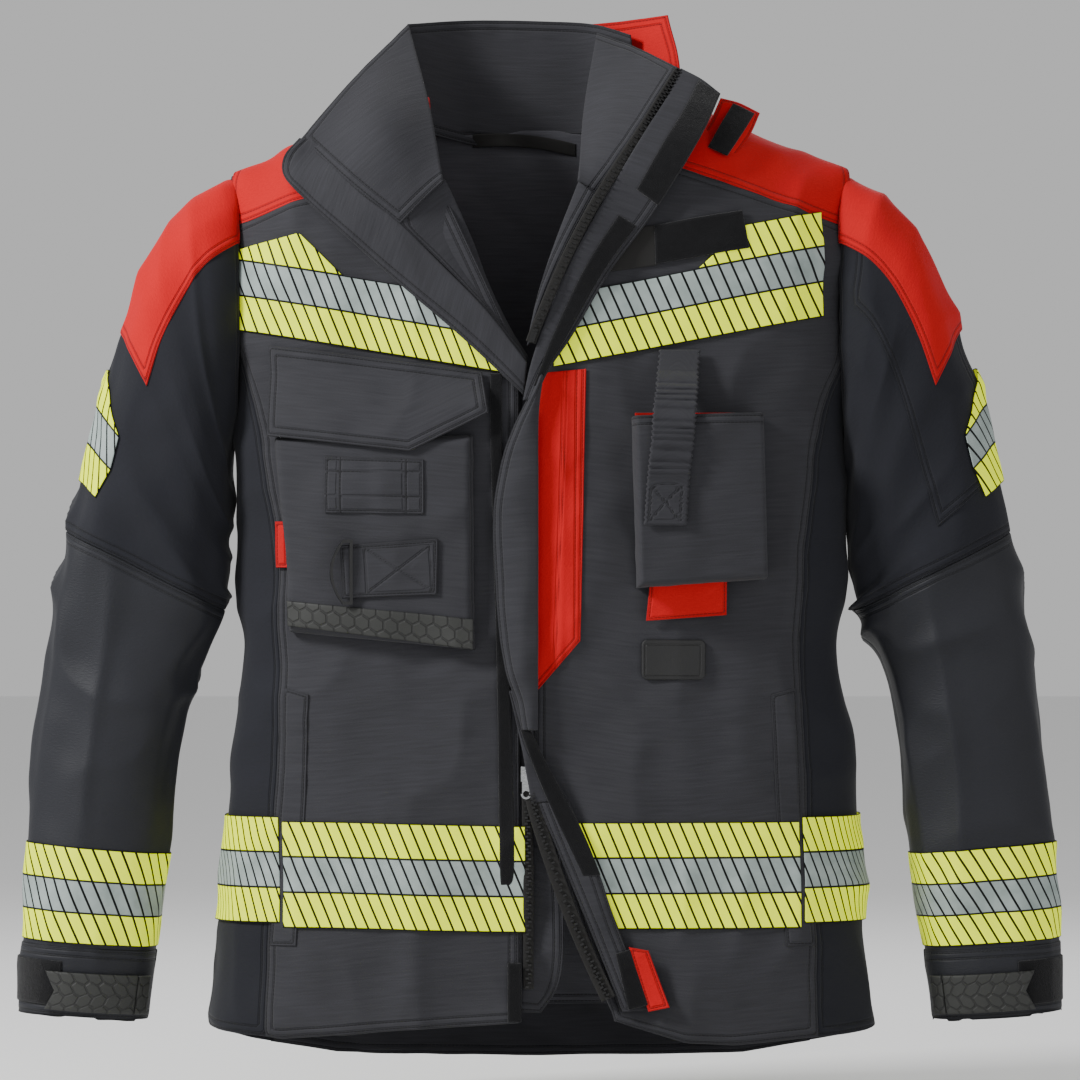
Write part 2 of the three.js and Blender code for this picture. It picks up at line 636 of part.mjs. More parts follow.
function hemBandBack() {
  const top = hemBand.top + hemBand.sideRise;
  const loop = toSolid(bodyPanel(0.4, 3.6, straightBand(-REACH, REACH, top, hemBand.height), bandOff, TRIM));
  const gapWidth = 2 * (seamAtBand + hemBand.seamGap);
  return fromSolid(loop.subtract(toSolid(boxAt(gapWidth, REACH, REACH, 0, MID_Y - REACH / 2, top))));
}
add('hem_band_back', hemBandBack(), 'reflective');

// A flat plate set on the front, its back face a small gap clear of the curve behind it.
function flatPlate({ x, z, width, height, thick, off, roll = 0, round = 0 }) {
  const shape = new THREE.Shape();
  const [w, h] = [width / 2, height / 2];
  if (round > 0) {
    shape.absarc(w - round, h - round, round, 0, Math.PI / 2);
    shape.absarc(-w + round, h - round, round, Math.PI / 2, Math.PI);
    shape.absarc(-w + round, -h + round, round, Math.PI, Math.PI * 1.5);
    shape.absarc(w - round, -h + round, round, Math.PI * 1.5, Math.PI * 2);
  } else {
    shape.moveTo(-w, -h);
    shape.lineTo(w, -h);
    shape.lineTo(w, h);
    shape.lineTo(-w, h);
  }
  const plate = new THREE.ExtrudeGeometry(shape, { depth: thick, bevelEnabled: false, curveSegments: 4 });
  plate.rotateX(Math.PI / 2);
  plate.rotateY(-roll);
  const normal = bodyNormal('front', x, z);
  plate.applyQuaternion(new THREE.Quaternion().setFromUnitVectors(new THREE.Vector3(0, -1, 0), normal));
  const seat = on(x, z, off);
  return plate.translate(seat.x, seat.y, seat.z);
}

const nameField = { x: 140, z: -93, width: 80, height: 34, thick: 1.2, off: 0.5, roll: 0.14 };
add('name_loop_field', flatPlate(nameField), 'hook');

const badge = { x: 115, z: -459, width: 55, height: 35, thick: 2.2, off: 0.9, roll: -0.03, round: 4 };
add('badge', flatPlate(badge), 'rubber');

// ---- Chest pocket --------------------------------------------------------------------------

const chestPocket = { left: -228, right: -57, top: -266, bottom: -450, proud: 11.3, wall: 2.4, off: 1.2 };

function blockOnFront(box, off, thick, columns = 5, rows = 5) {
  return patch({
    left: level(box.left),
    right: level(box.right),
    top: level(box.top),
    bottom: level(box.bottom),
    off,
    thick,
    columns,
    rows,
  });
}

function openPocket(pocket, columns, rows) {
  const outer = blockOnFront(pocket, pocket.off, pocket.proud, columns, rows);
  const inside = {
    left: pocket.left + pocket.wall,
    right: pocket.right - pocket.wall,
    top: pocket.top + 10,
    bottom: pocket.bottom + pocket.wall,
  };
  const hollow = blockOnFront(inside, pocket.off + pocket.wall, pocket.proud - 2 * pocket.wall, columns, rows);
  return fromSolid(toSolid(outer).subtract(toSolid(hollow)));
}
add('chest_pocket', openPocket(chestPocket, 6, 5), 'charcoal');

const flapRest = chestPocket.proud + 3.1;
const pocketFlap = [
  [on(-232, -186, 4), on(-186, -192, 4), on(-120, -200, 4), on(-52, -211, 4)],
  [on(-231, -222, 10), on(-186, -226, 10), on(-120, -228, 10), on(-50, -228, 10)],
  [on(-229, -264, flapRest), on(-176, -268, flapRest), on(-112, -278, flapRest), on(-47, -246, flapRest)],
];
add('chest_pocket_flap', sheet(pocketFlap, 1.8, 7, 4), 'charcoal');

const gripStrip = { left: -213, right: -58, top: -413, bottom: -446 };
add('grip_strip', blockOnFront(gripStrip, chestPocket.proud + 1.9, 1.8, 6, 1), 'rubber');

const ringTab = { x: -127, z: -384, width: 78, height: 43, thick: 3.4, eye: 2.9, off: 1.6 };
const ringPlace = { x: -ringTab.width / 2 + 5, y: -ringTab.eye - 2.2 };

function ringTabSolid() {
  const strap = boxAt(ringTab.width, ringTab.thick, ringTab.height, 0, -ringTab.thick / 2, 0);
  const curl = new THREE.CylinderGeometry(ringTab.eye + 1.8, ringTab.eye + 1.8, ringTab.height, 12);
  curl.rotateX(Math.PI / 2).translate(ringPlace.x, ringPlace.y, 0);
  const eye = new THREE.CylinderGeometry(ringTab.eye, ringTab.eye, ringTab.height * 2, 12);
  eye.rotateX(Math.PI / 2).translate(ringPlace.x, ringPlace.y, 0);
  return fromSolid(toSolid(strap).add(toSolid(curl)).subtract(toSolid(eye)));
}

const dRing = { height: 56, straight: 7, bow: 15, section: 2.8 };

function dRingSolid() {
  const [h, s] = [dRing.height / 2, dRing.section];
  const outer = new THREE.Shape();
  outer.moveTo(s / 2, -h);
  outer.lineTo(s / 2, h);
  outer.lineTo(-dRing.straight, h);
  outer.quadraticCurveTo(-2 * dRing.bow, 0, -dRing.straight, -h);
  const hole = new THREE.Path();
  hole.moveTo(-s / 2, -h + s);
  hole.lineTo(-dRing.straight, -h + s);
  hole.quadraticCurveTo(-2 * dRing.bow + 1.6 * s, 0, -dRing.straight, h - s);
  hole.lineTo(-s / 2, h - s);
  outer.holes.push(hole);
  const bar = new THREE.ExtrudeGeometry(outer, { depth: s, bevelEnabled: false, curveSegments: 8 });
  return bar.translate(0, 0, -s / 2).rotateX(Math.PI / 2);
}

const ringGroup = new THREE.Group();
ringGroup.position.copy(on(ringTab.x, ringTab.z, chestPocket.proud + ringTab.off));
ringGroup.quaternion.setFromUnitVectors(v(0, -1, 0), bodyNormal('front', ringTab.x, ringTab.z));
coat.add(ringGroup);
add('ring_tab', ringTabSolid(), 'charcoal', ringGroup);
const ring = add('d_ring', dRingSolid(), 'metal', ringGroup);
ring.position.set(ringPlace.x, ringPlace.y, 0);
ring.rotation.z = 0.35;

// ---- Radio pocket --------------------------------------------------------------------------

const radioPocket = { left: 80, right: 190, top: -248, bottom: -392, proud: 28, wall: 2.6, off: 0.9 };
add('radio_pocket', openPocket(radioPocket, 3, 3), 'charcoal');

const strap = { x: 117, half: 17, top: -192, kink: -214, bottom: -340 };
const pocketFront = radioPocket.proud + 1.8;
const radioStrap = [
  [on(104, strap.top, 2.2), on(121, strap.top, 2.2), on(137, strap.top, 2.2)],
  [on(102, strap.kink, 12), on(118, strap.kink, 12), on(134, strap.kink, 12)],
  [on(95, -243, pocketFront), on(112, -243, pocketFront), on(129, -243, pocketFront)],
  [on(91, -300, pocketFront), on(107, -300, pocketFront), on(123, -300, pocketFront)],
  [on(89, strap.bottom, pocketFront), on(105, strap.bottom, pocketFront), on(120, strap.bottom, pocketFront)],
];
add('radio_strap', sheet(radioStrap, 2.4, 2, 12), 'charcoal');

const radioTab = { left: 93, right: 160, top: radioPocket.bottom - 0.6, bottom: -426 };
const radioTabNet = [
  [on(radioTab.left, radioTab.top, 8), on(radioTab.right, radioTab.top, 8)],
  [on(radioTab.left, radioTab.bottom, 4), on(radioTab.right - 1, radioTab.bottom + 1, 4)],
];
add('radio_pull_tab', sheet(radioTabNet, 2.6, 3, 3), 'red');

// ---- Collar closing tab --------------------------------------------------------------------

const collarTab = [
  [v(166, -95.6, 24), v(192, -90.6, 14)],
  [v(143, -130.6, -15), v(169, -123.6, -27)],
];
add('collar_tab', sheet(collarTab, 2.2, 3, 4), 'red');

// ---- Hand pocket welts ---------------------------------------------------------------------

const welt = { top: -488, bottom: TAIL_Z + 245, inset: 26, width: 20 };
function handWelt(sense) {
  const outer = (share) => sense * (sideSeamX(lerp(welt.top, welt.bottom, share)) - 4);
  const inner = (share) => outer(share) - sense * welt.width;
  return patch({
    left: sense < 0 ? outer : inner,
    right: sense < 0 ? inner : outer,
    top: level(welt.top),
    bottom: level(welt.bottom),
    off: 0.7,
    thick: 1.6,
    columns: 2,
    rows: 5,
  });
}
add('hand_pocket_welt_left', handWelt(-1), 'charcoal');
add('hand_pocket_welt_right', handWelt(1), 'charcoal');

// ---- Sleeves -------------------------------------------------------------------------------

// Rings down the arm: where each ring meets the outer and the inner edge, and its half depth.
const SLEEVE_RINGS = [
  { outer: [0, -35], inner: [4, -272], half: 50 },
  { outer: [42, -56], inner: [8, -305], half: 59 },
  { outer: [78, -104], inner: [9, -340], half: 63 },
  { outer: [106, -173], inner: [10, -372], half: 64 },
  { outer: [133, -255], inner: [12, -400], half: 62 },
  { outer: [157, -347], inner: [15, -418], half: 60 },
  { outer: [173, -440], inner: [38, -474], half: 57 },
  { outer: [185, -530], inner: [54, -545], half: 53 },
  { outer: [191, -622], inner: [66, -632], half: 49 },
  { outer: [196, -704], inner: [77, -712], half: 44 },
  { outer: [197, -768], inner: [86, -776], half: 39 },
];
const sleeve = { cap: 3, elbow: 5, bandTop: 8, bandBottom: 9, end: 10, around: 18, capSteps: 3, patchSteps: 2, tabSteps: [3, 7], wall: 3.2 };

const armCurve = (key) => new THREE.CatmullRomCurve3(
  SLEEVE_RINGS.map((ring) => v(CHEST_HALF + ring[key][0], 0, ring[key][1])), false, 'centripetal');
const outerArm = armCurve('outer');
const innerArm = armCurve('inner');
const lastRing = SLEEVE_RINGS.length - 1;

// A point on a sleeve: how far down the arm in rings, the angle from its outer edge, and the lift.
function sleevePoint(sense, down, angle, lift = 0) {
  const surface = (d, a) => {
    if (d < 0) {
      return surface(0, a).lerp(surface(0.1, a), d / 0.1);
    }
    const share = clamp(d / lastRing, 0, 1);
    const outer = outerArm.getPoint(share);
    const inner = innerArm.getPoint(share);
    const k = Math.min(Math.floor(d), lastRing - 1);
    const half = lerp(SLEEVE_RINGS[k].half, SLEEVE_RINGS[k + 1].half, d - k);
    const point = outer.clone().add(inner).multiplyScalar(0.5);
    point.addScaledVector(outer.clone().sub(inner), 0.5 * Math.cos(a));
    point.y = MID_Y - half * Math.sin(a);
    return v(sense * point.x, point.y, point.z);
  };
  const point = surface(down, angle);
  if (lift === 0) {
    return point;
  }
  const dd = surface(Math.min(down + 0.04, lastRing), angle).sub(surface(down - 0.04, angle));
  const da = surface(down, angle + 0.03).sub(surface(down, angle - 0.03));
  const normal = dd.cross(da).normalize();
  const centre = surface(down, 0).add(surface(down, Math.PI)).multiplyScalar(0.5);
  const outwards = normal.dot(point.clone().sub(centre)) < 0 ? -lift : lift;
  return point.addScaledVector(normal, outwards);
}

function sleeveWall(sense, from, to, steps, outerLift, innerLift, angles = null) {
  const ring = angles === null;
  const count = ring ? sleeve.around : Math.round(sleeve.around * (angles[1] - angles[0]) / (2 * Math.PI));
  const columns = ring ? count : count + 1;
  const angleAt = (i) => (ring ? 2 * Math.PI * i / count : lerp(angles[0], angles[1], i / count));
  const grid = (lift) => Array.from({ length: columns }, (_, i) => Array.from({ length: steps + 1 }, (_, j) =>
    sleevePoint(sense, lerp(from, to, j / steps), angleAt(i), lift)));
  return wallBetween(grid(outerLift), grid(innerLift), ring);
}

function sleeveParts(sense, side) {
  const step = 2 * Math.PI / sleeve.around;
  const spread = (steps, margin = 0) => [-steps * step - margin, steps * step + margin];
  const margin = 0.02;
  const tube = toSolid(sleeveWall(sense, 0, sleeve.elbow - 0.01, 7, 0, -sleeve.wall));
  const capSpace = sleeveWall(sense, -0.3, sleeve.cap + margin, 7, 6, -sleeve.wall - 6, spread(sleeve.capSteps, margin));
  const armholeSide = toSolid(boxAt(REACH, 2 * REACH, REACH * 2, sense * (CHEST_HALF - REACH / 2), MID_Y, 0));
  add(`sleeve_upper_${side}`, fromSolid(tube.subtract(toSolid(capSpace)).subtract(armholeSide)), 'navy');
  const cap = toSolid(sleeveWall(sense, 0, sleeve.cap, 5, 0, -sleeve.wall, spread(sleeve.capSteps)));
  add(`sleeve_cap_${side}`, fromSolid(cap.subtract(armholeSide)), 'red');
  const patchSpread = spread(sleeve.patchSteps);
  const [patchTop, patchBottom] = [sleeve.cap + 0.45, sleeve.cap + 1.45];
  add(`arm_patch_${side}`, sleeveWall(sense, patchTop, patchBottom, 3, LIFT + TRIM, LIFT, patchSpread), 'reflective');
  add(`sleeve_lower_${side}`, sleeveWall(sense, sleeve.elbow, sleeve.end, 8, 0, -sleeve.wall), 'coated');
  add(`sleeve_band_${side}`, sleeveWall(sense, sleeve.bandTop, sleeve.bandBottom, 2, LIFT + TRIM, LIFT), 'reflective');
  const tabAngles = sleeve.tabSteps.map((count) => count * step);
  const tab = sleeveWall(sense, sleeve.bandBottom + 0.4, sleeve.end - 0.05, 1, LIFT + 2.2, LIFT, tabAngles);
  add(`cuff_tab_${side}`, tab, 'rubber');
}

sleeveParts(-1, 'left');
sleeveParts(1, 'right');

export default coat;
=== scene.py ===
"""Looks of a firefighter's turnout coat that hangs from its collar loop.

Metres, in the frame's own axes: +Z up, the front faces -Y, +X on the right of someone facing the
coat. Tables of places on the coat are in millimetres, because that is how the cut is drawn.
"""

import logging
import math
from collections.abc import Callable, Sequence
from dataclasses import dataclass, field
from enum import Enum

import bpy
import numpy as np
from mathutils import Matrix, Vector
from numpy.typing import NDArray


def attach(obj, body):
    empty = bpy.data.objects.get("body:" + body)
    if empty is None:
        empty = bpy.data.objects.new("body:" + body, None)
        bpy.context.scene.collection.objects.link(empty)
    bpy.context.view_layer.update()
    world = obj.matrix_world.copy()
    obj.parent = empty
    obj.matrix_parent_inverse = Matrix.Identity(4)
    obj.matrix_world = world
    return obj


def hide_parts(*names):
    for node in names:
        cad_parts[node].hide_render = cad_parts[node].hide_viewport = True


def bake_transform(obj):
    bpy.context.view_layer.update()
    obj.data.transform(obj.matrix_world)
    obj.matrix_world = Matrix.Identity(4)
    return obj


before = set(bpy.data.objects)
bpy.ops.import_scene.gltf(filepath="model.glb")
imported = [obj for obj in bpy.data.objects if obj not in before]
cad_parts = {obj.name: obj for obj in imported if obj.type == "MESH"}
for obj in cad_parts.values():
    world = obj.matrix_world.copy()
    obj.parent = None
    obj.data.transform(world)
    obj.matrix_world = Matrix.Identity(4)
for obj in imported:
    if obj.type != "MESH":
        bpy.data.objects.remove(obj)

Array = NDArray[np.float64]
Shape = Callable[[Array, Array], Array]

LOG = logging.getLogger("turnout_coat")
MM = 0.001
WEAVE_MAP = "weave"
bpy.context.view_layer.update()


# ---- Small mathematics -----------------------------------------------------------------------


def smooth(low: float, high: float, value: Array) -> Array:
    """Cubic ease from 0 at low to 1 at high."""
    share = np.clip((value - low) / (high - low), 0.0, 1.0)
    return share * share * (3.0 - 2.0 * share)


def bell(value: Array, width: float) -> Array:
    """A bump of height 1 at nought that fades over about the width."""
    return np.exp(-((value / width) ** 2))


def unit(vectors: Array) -> Array:
    """Vectors scaled to length 1."""
    return vectors / np.maximum(np.linalg.norm(vectors, axis=-1, keepdims=True), 1e-12)


def lattice_noise(points: Array, seed: int) -> Array:
    """Random numbers on a unit lattice, eased between the eight corners of each cell.

    Args:
        points: places, in cells, with three numbers each.
        seed: picks the field.

    Returns:
        Values from -1 to 1.
    """
    cell = np.floor(points).astype(np.int64)
    part = points - cell
    ease = part * part * (3.0 - 2.0 * part)
    total = np.zeros(points.shape[:-1])
    for corner in range(8):
        pick = np.array([corner & 1, (corner >> 1) & 1, corner >> 2])
        weight = np.prod(np.where(pick == 1, ease, 1.0 - ease), axis=-1)
        at = cell + pick
        key = (at[..., 0] * 73856093) ^ (at[..., 1] * 19349663) ^ (at[..., 2] * 83492791) ^ (seed * 7919)
        key &= 0xFFFFFFFF
        key = ((key ^ (key >> 13)) * 1274126177) & 0xFFFFFFFF
        key ^= key >> 16
        total += weight * (key / 0x7FFFFFFF - 1.0)
    return total


def ridged(points: Array, seed: int) -> Array:
    """Narrow rounded crests where the noise crosses nought, from about -1 to 0.4."""
    return 1.0 - 2.0 * (lattice_noise(points, seed) ** 2 + 0.008) ** 0.25


def catmull(knots: Array, share: Array) -> Array:
    """Centripetal Catmull-Rom curve through the knots.

    Each span is a cubic with end tangents from the neighbours, spaced by the square root of
    their distances; past the ends the line goes straight on.

    Args:
        knots: (n, ..., 3) places.
        share: (k,) places along the curve from 0 to 1.

    Returns:
        (k, ..., 3) places.
    """
    count = len(knots)
    padded = np.concatenate([[2 * knots[0] - knots[1]], knots, [2 * knots[-1] - knots[-2]]])
    along = np.clip(share, 0.0, 1.0) * (count - 1)
    span = np.minimum(along.astype(int), count - 2)
    part = (along - span).reshape((-1,) + (1,) * (knots.ndim - 1))
    a, b, c, d = (padded[span + k] for k in range(4))
    gap = [np.sqrt(np.linalg.norm(q - p, axis=-1, keepdims=True)) for p, q in ((a, b), (b, c), (c, d))]
    middle = np.where(gap[1] < 1e-5, 1.0, gap[1])
    first = np.where(gap[0] < 1e-5, middle, gap[0])
    last = np.where(gap[2] < 1e-5, middle, gap[2])
    start = ((b - a) / first - (c - a) / (first + middle) + (c - b) / middle) * middle
    end = ((c - b) / middle - (d - b) / (middle + last) + (d - c) / last) * middle
    square, cube = part * part, part**3
    return (
        (2 * cube - 3 * square + 1) * b
        + (cube - 2 * square + part) * start
        + (3 * square - 2 * cube) * c
        + (cube - square) * end
    )


def walk(points: Sequence[Sequence[float]], share: Array) -> Array:
    """Places at even shares of the length of a broken line.

    Args:
        points: the line's corners.
        share: any shape, 0 to 1.

    Returns:
        Places with one more axis than share.
    """
    line = np.asarray(points, dtype=float)
    steps = np.linalg.norm(np.diff(line, axis=0), axis=1)
    length = np.concatenate([[0.0], np.cumsum(steps)]) / steps.sum()
    return np.stack([np.interp(share, length, line[:, k]) for k in range(line.shape[1])], axis=-1)


def four_sided(bottom: Sequence, top: Sequence, left: Sequence, right: Sequence) -> Shape:
    """Coons patch: the sum of two ruled sheets between facing sides, less the corners' sheet.

    Args:
        bottom: broken line from left to right.
        top: the same at the top.
        left: broken line from bottom to top.
        right: the same at the right.

    Returns:
        A function of two shares, across and up, to places in the plane of the lines.
    """

    def place(u: Array, v: Array) -> Array:
        low, high, west, east = walk(bottom, u), walk(top, u), walk(left, v), walk(right, v)
        u, v = u[..., None], v[..., None]
        corners = (1 - u) * (1 - v) * np.asarray(bottom[0]) + u * (1 - v) * np.asarray(bottom[-1])
        corners = corners + (1 - u) * v * np.asarray(top[0]) + u * v * np.asarray(top[-1])
        return (1 - v) * low + v * high + (1 - u) * west + u * east - corners

    return place


# ---- The coat's form -------------------------------------------------------------------------


@dataclass(frozen=True)
class CoatBody:
    """The body's outer surface: a flattened super-ellipse that is closed over the shoulders."""

    chest_half: float = 0.260
    middle_y: float = -0.070
    power: float = 2.6
    armhole_ease: float = 0.010
    heights: tuple = (-0.817, -0.682, -0.512, -0.400, -0.270, -0.090, 0.040)
    flare: tuple = (0.037, 0.027, 0.010, -0.001, -0.002, 0.0, 0.0)
    front_depth: tuple = (0.095, 0.092, 0.090, 0.092, 0.090, 0.080, 0.062)
    back_depth: tuple = (0.097, 0.092, 0.088, 0.090, 0.092, 0.088, 0.083)

    def eased(self, table: tuple, z: Array) -> Array:
        """A table's value at a height, averaged over a hand's width so that it has no kinks."""
        return sum(np.interp(z + k * 0.012, self.heights, table) for k in range(-2, 3)) / 5.0

    def half_width(self, z: Array) -> Array:
        """Half the width at a height, a little fuller where the sleeves are set in."""
        return self.chest_half + self.eased(self.flare, z) + self.armhole_ease * smooth(-0.45, -0.37, z)

    def ridge(self, x: Array) -> Array:
        """Height of the shoulder ridge at a place across."""
        out = np.abs(x) - 0.123
        return 0.030 - np.where(out > 0, 0.45 * out, 0.1 * out)

    def ridge_round(self, x: Array) -> Array:
        """How far down from the ridge the shoulder is rounded."""
        return 0.025 + 0.045 * np.clip(np.abs(x) / 0.123, 0, 1)

    def place(self, turn: Array, z: Array) -> Array:
        """A point on the surface.

        The section is |x/w|^p + |y/d|^p = 1; near the ridge the depth falls as a quarter circle.

        Args:
            turn: once round in four steps: 0 front centre, 1 right side, 2 back, 3 left side.
            z: height.

        Returns:
            Places.
        """
        angle = turn * math.pi / 2
        x = self.half_width(z) * np.sin(angle)
        section = (1 - np.minimum(np.abs(np.sin(angle)), 1.0) ** self.power) ** (1 / self.power)
        fall = np.clip((self.ridge(x) - z) / self.ridge_round(x), 0, 1)
        crown = np.sqrt(1 - (1 - fall) ** 2)
        faces_front = np.cos(angle) >= 0
        depth = np.where(faces_front, self.eased(self.front_depth, z), self.eased(self.back_depth, z))
        y = self.middle_y + np.where(faces_front, -1.0, 1.0) * depth * section * crown
        return np.stack([x, y, z], axis=-1)

    def turn_at(self, x: Array, z: Array) -> Array:
        """The turn of a place on the front."""
        return np.arcsin(np.clip(x / self.half_width(z), -0.9995, 0.9995)) * 2 / math.pi

    def out(self, turn: Array, z: Array) -> Array:
        """The direction that points out of the coat."""
        step = 0.002
        across = self.place(turn + 0.004, z) - self.place(turn - 0.004, z)
        down = self.place(turn, z - step) - self.place(turn, z + step)
        return unit(np.cross(down, across))

    def relief(self, base: Array) -> Array:
        """How far the worn cloth stands off its pattern.

        Broad swells, upright drapes that deepen towards the hem, slanting drag lines and a small
        crumple are added; all of them are eased noise in the coat's own coordinates, so sheets
        that lie on each other move together.
        """
        low = smooth(-0.25, -0.80, base[..., 2])
        bend = lattice_noise(base / np.array([0.20, 0.20, 0.16]), 5)[..., None] * np.array([0.35, 0.2, 0.2])
        swell = lattice_noise(base / np.array([0.11, 0.13, 0.15]), 1)
        drape = ridged(base / np.array([0.085, 0.10, 0.42]) + bend, 2)
        slant = base @ np.array([[0.8, 0.0, 0.6], [0.0, 1.0, 0.0], [-0.6, 0.0, 0.8]])
        drag = ridged(slant / np.array([0.16, 0.2, 0.055]) + bend, 3)
        crumple = lattice_noise(base / 0.026 + bend, 4)
        creases = ridged(base / np.array([0.05, 0.06, 0.075]) + bend, 6)
        return MM * (2.6 * swell + (2.4 + 4.6 * low) * drape + 4.6 * drag + 3.0 * creases + 1.4 * crumple)

    def on(self, turn: Array, z: Array, off: Array | float = 0.0, relief: float = 1.0) -> Array:
        """A point a little way off the worn surface.

        Args:
            turn: once round in four steps.
            z: height.
            off: distance off the surface.
            relief: share of the cloth's relief that it follows.

        Returns:
            Places.
        """
        base = self.place(turn, z)
        lift = off + relief * self.relief(base)
        return base + self.out(turn, z) * np.asarray(lift)[..., None]

    def front(self, x: Array, z: Array, off: Array | float = 0.0, relief: float = 1.0) -> Array:
        """A point off the worn front, at a place across and a height."""
        return self.on(self.turn_at(x, z), z, off, relief)

    def knot(self, x: float, z: float, off: float = 0.0) -> Array:
        """One net point off the smooth front, with its sizes in millimetres."""
        at_x, at_z = np.array(x * MM), np.array(z * MM)
        return self.on(self.turn_at(at_x, at_z), at_z, off * MM, 0.0)


BODY = CoatBody()


@dataclass(frozen=True)
class Arm:
    """A sleeve's form: ellipses strung between the lines of its outer and inner edges."""

    outer: tuple = (
        (0, -35), (42, -56), (78, -104), (106, -173), (133, -255), (157, -347),
        (173, -440), (185, -530), (191, -622), (196, -704), (197, -768),
    )
    inner: tuple = (
        (4, -272), (8, -305), (9, -340), (10, -372), (12, -400), (15, -418),
        (38, -474), (54, -545), (66, -632), (77, -712), (86, -776),
    )
    half: tuple = (50, 59, 63, 64, 62, 60, 57, 53, 49, 44, 39)
    armhole_turn: float = 0.155
    armhole_top: float = -0.040
    armhole_low: float = -0.274

    def edge(self, table: tuple, down: Array) -> Array:
        """Places along an edge line, at so many rings down."""
        knots = np.array([[260 + x, 0, z] for x, z in table], dtype=float) * MM
        flat = catmull(knots, np.clip(down, 0, 10).ravel() / 10)
        return flat.reshape(down.shape + (3,))

    def smooth_place(self, sense: int, down: Array, angle: Array) -> Array:
        """The pattern's surface.

        Args:
            sense: -1 for the left sleeve, 1 for the right.
            down: rings down the arm; above the first ring it closes onto the armhole.
            angle: from the outer edge round by the front.

        Returns:
            Places.
        """
        outer, inner = self.edge(self.outer, down), self.edge(self.inner, down)
        half = np.interp(down, np.arange(11), self.half) * MM
        ring = (outer + inner) / 2 + (outer - inner) / 2 * np.cos(angle)[..., None]
        ring[..., 1] = BODY.middle_y - half * np.sin(angle)
        middle, reach = (self.armhole_top + self.armhole_low) / 2, (self.armhole_top - self.armhole_low) / 2
        turn = 1 - self.armhole_turn * np.sin(angle)
        hole = BODY.place(turn, middle + reach * np.cos(angle))
        share = smooth(-0.5, 0.9, down)[..., None]
        place = hole * (1 - share) + ring * share
        place[..., 0] *= sense
        return place

    def relief(self, sense: int, down: Array, angle: Array) -> Array:
        """Cloth relief: creases across the elbow, long soft folds elsewhere, a fine crumple."""
        place = self.smooth_place(1, down, angle) + np.array([sense * 3.0, 0, 0])
        skew = down + 0.35 * np.sin(angle) * sense
        elbow = bell(down - 5.1, 1.15)
        round_x, round_y = np.cos(angle), np.sin(angle)
        folds = ridged(np.stack([round_x * 0.8, round_y * 0.8, skew * 1.55 + 7 * sense], axis=-1), 11)
        long = ridged(np.stack([round_x * 1.9, round_y * 1.9, down * 0.30 + 5 * sense], axis=-1), 12)
        swell = lattice_noise(place / 0.085, 13)
        crumple = lattice_noise(place / 0.027, 14)
        held = smooth(-0.5, 1.2, down) * (1 - 0.85 * smooth(8.7, 9.4, down))
        return MM * held * ((2.6 + 6.0 * elbow) * folds + 4.2 * long + 3.0 * swell + 1.3 * crumple)

    def place(self, sense: int, down: Array, angle: Array, off: Array | float = 0.0) -> Array:
        """A point off the worn sleeve."""
        base = self.smooth_place(sense, down, angle)
        along = self.smooth_place(sense, down + 0.03, angle) - self.smooth_place(sense, down - 0.03, angle)
        across = self.smooth_place(sense, down, angle + 0.02) - self.smooth_place(sense, down, angle - 0.02)
        out = unit(np.cross(across, along)) * sense
        return base + out * np.asarray(off + self.relief(sense, down, angle))[..., None]


ARM = Arm()


# ---- Shader graphs ---------------------------------------------------------------------------


class Value:
    """A number that varies over a surface: wraps a socket, and arithmetic adds Math nodes."""

    def __init__(self, graph: "Graph", socket: bpy.types.NodeSocket) -> None:
        """Keep the socket and the graph that it is in."""
        self.graph = graph
        self.socket = socket

    def math(self, operation: str, *others: "Value | float", swap: bool = False) -> "Value":
        """One Math node on this value and others.

        Args:
            operation: the node's operation.
            others: the other inputs.
            swap: put this value second.

        Returns:
            The node's value.
        """
        items = [*others, self] if swap else [self, *others]
        return self.graph.value("ShaderNodeMath", {"operation": operation}, dict(enumerate(items)))

    def __add__(self, other: "Value | float") -> "Value":
        """Sum."""
        return self.math("ADD", other)

    __radd__ = __add__

    def __mul__(self, other: "Value | float") -> "Value":
        """Product."""
        return self.math("MULTIPLY", other)

    __rmul__ = __mul__

    def __sub__(self, other: "Value | float") -> "Value":
        """Difference."""
        return self.math("SUBTRACT", other)

    def __rsub__(self, other: float) -> "Value":
        """Difference from a number."""
        return self.math("SUBTRACT", other, swap=True)

    def __truediv__(self, other: "Value | float") -> "Value":
        """Quotient."""
        return self.math("DIVIDE", other)

    def __abs__(self) -> "Value":
        """Size."""
        return self.math("ABSOLUTE")

    def part(self) -> "Value":
        """What is left over the whole number below."""
        return self.math("FRACT")

    def least(self, other: "Value | float") -> "Value":
        """The smaller of two."""
        return self.math("MINIMUM", other)

    def most(self, other: "Value | float") -> "Value":
        """The larger of two."""
        return self.math("MAXIMUM", other)

    def below(self, edge: float, blur: float) -> "Value":
        """1 under the edge and 0 over it, eased over the blur."""
        settings = {"interpolation_type": "SMOOTHSTEP"}
        spans = {
            "Value": self,
            "From Min": edge - blur,
            "From Max": edge + blur,
            "To Min": 1.0,
            "To Max": 0.0,
        }
        return self.graph.value("ShaderNodeMapRange", settings, spans)


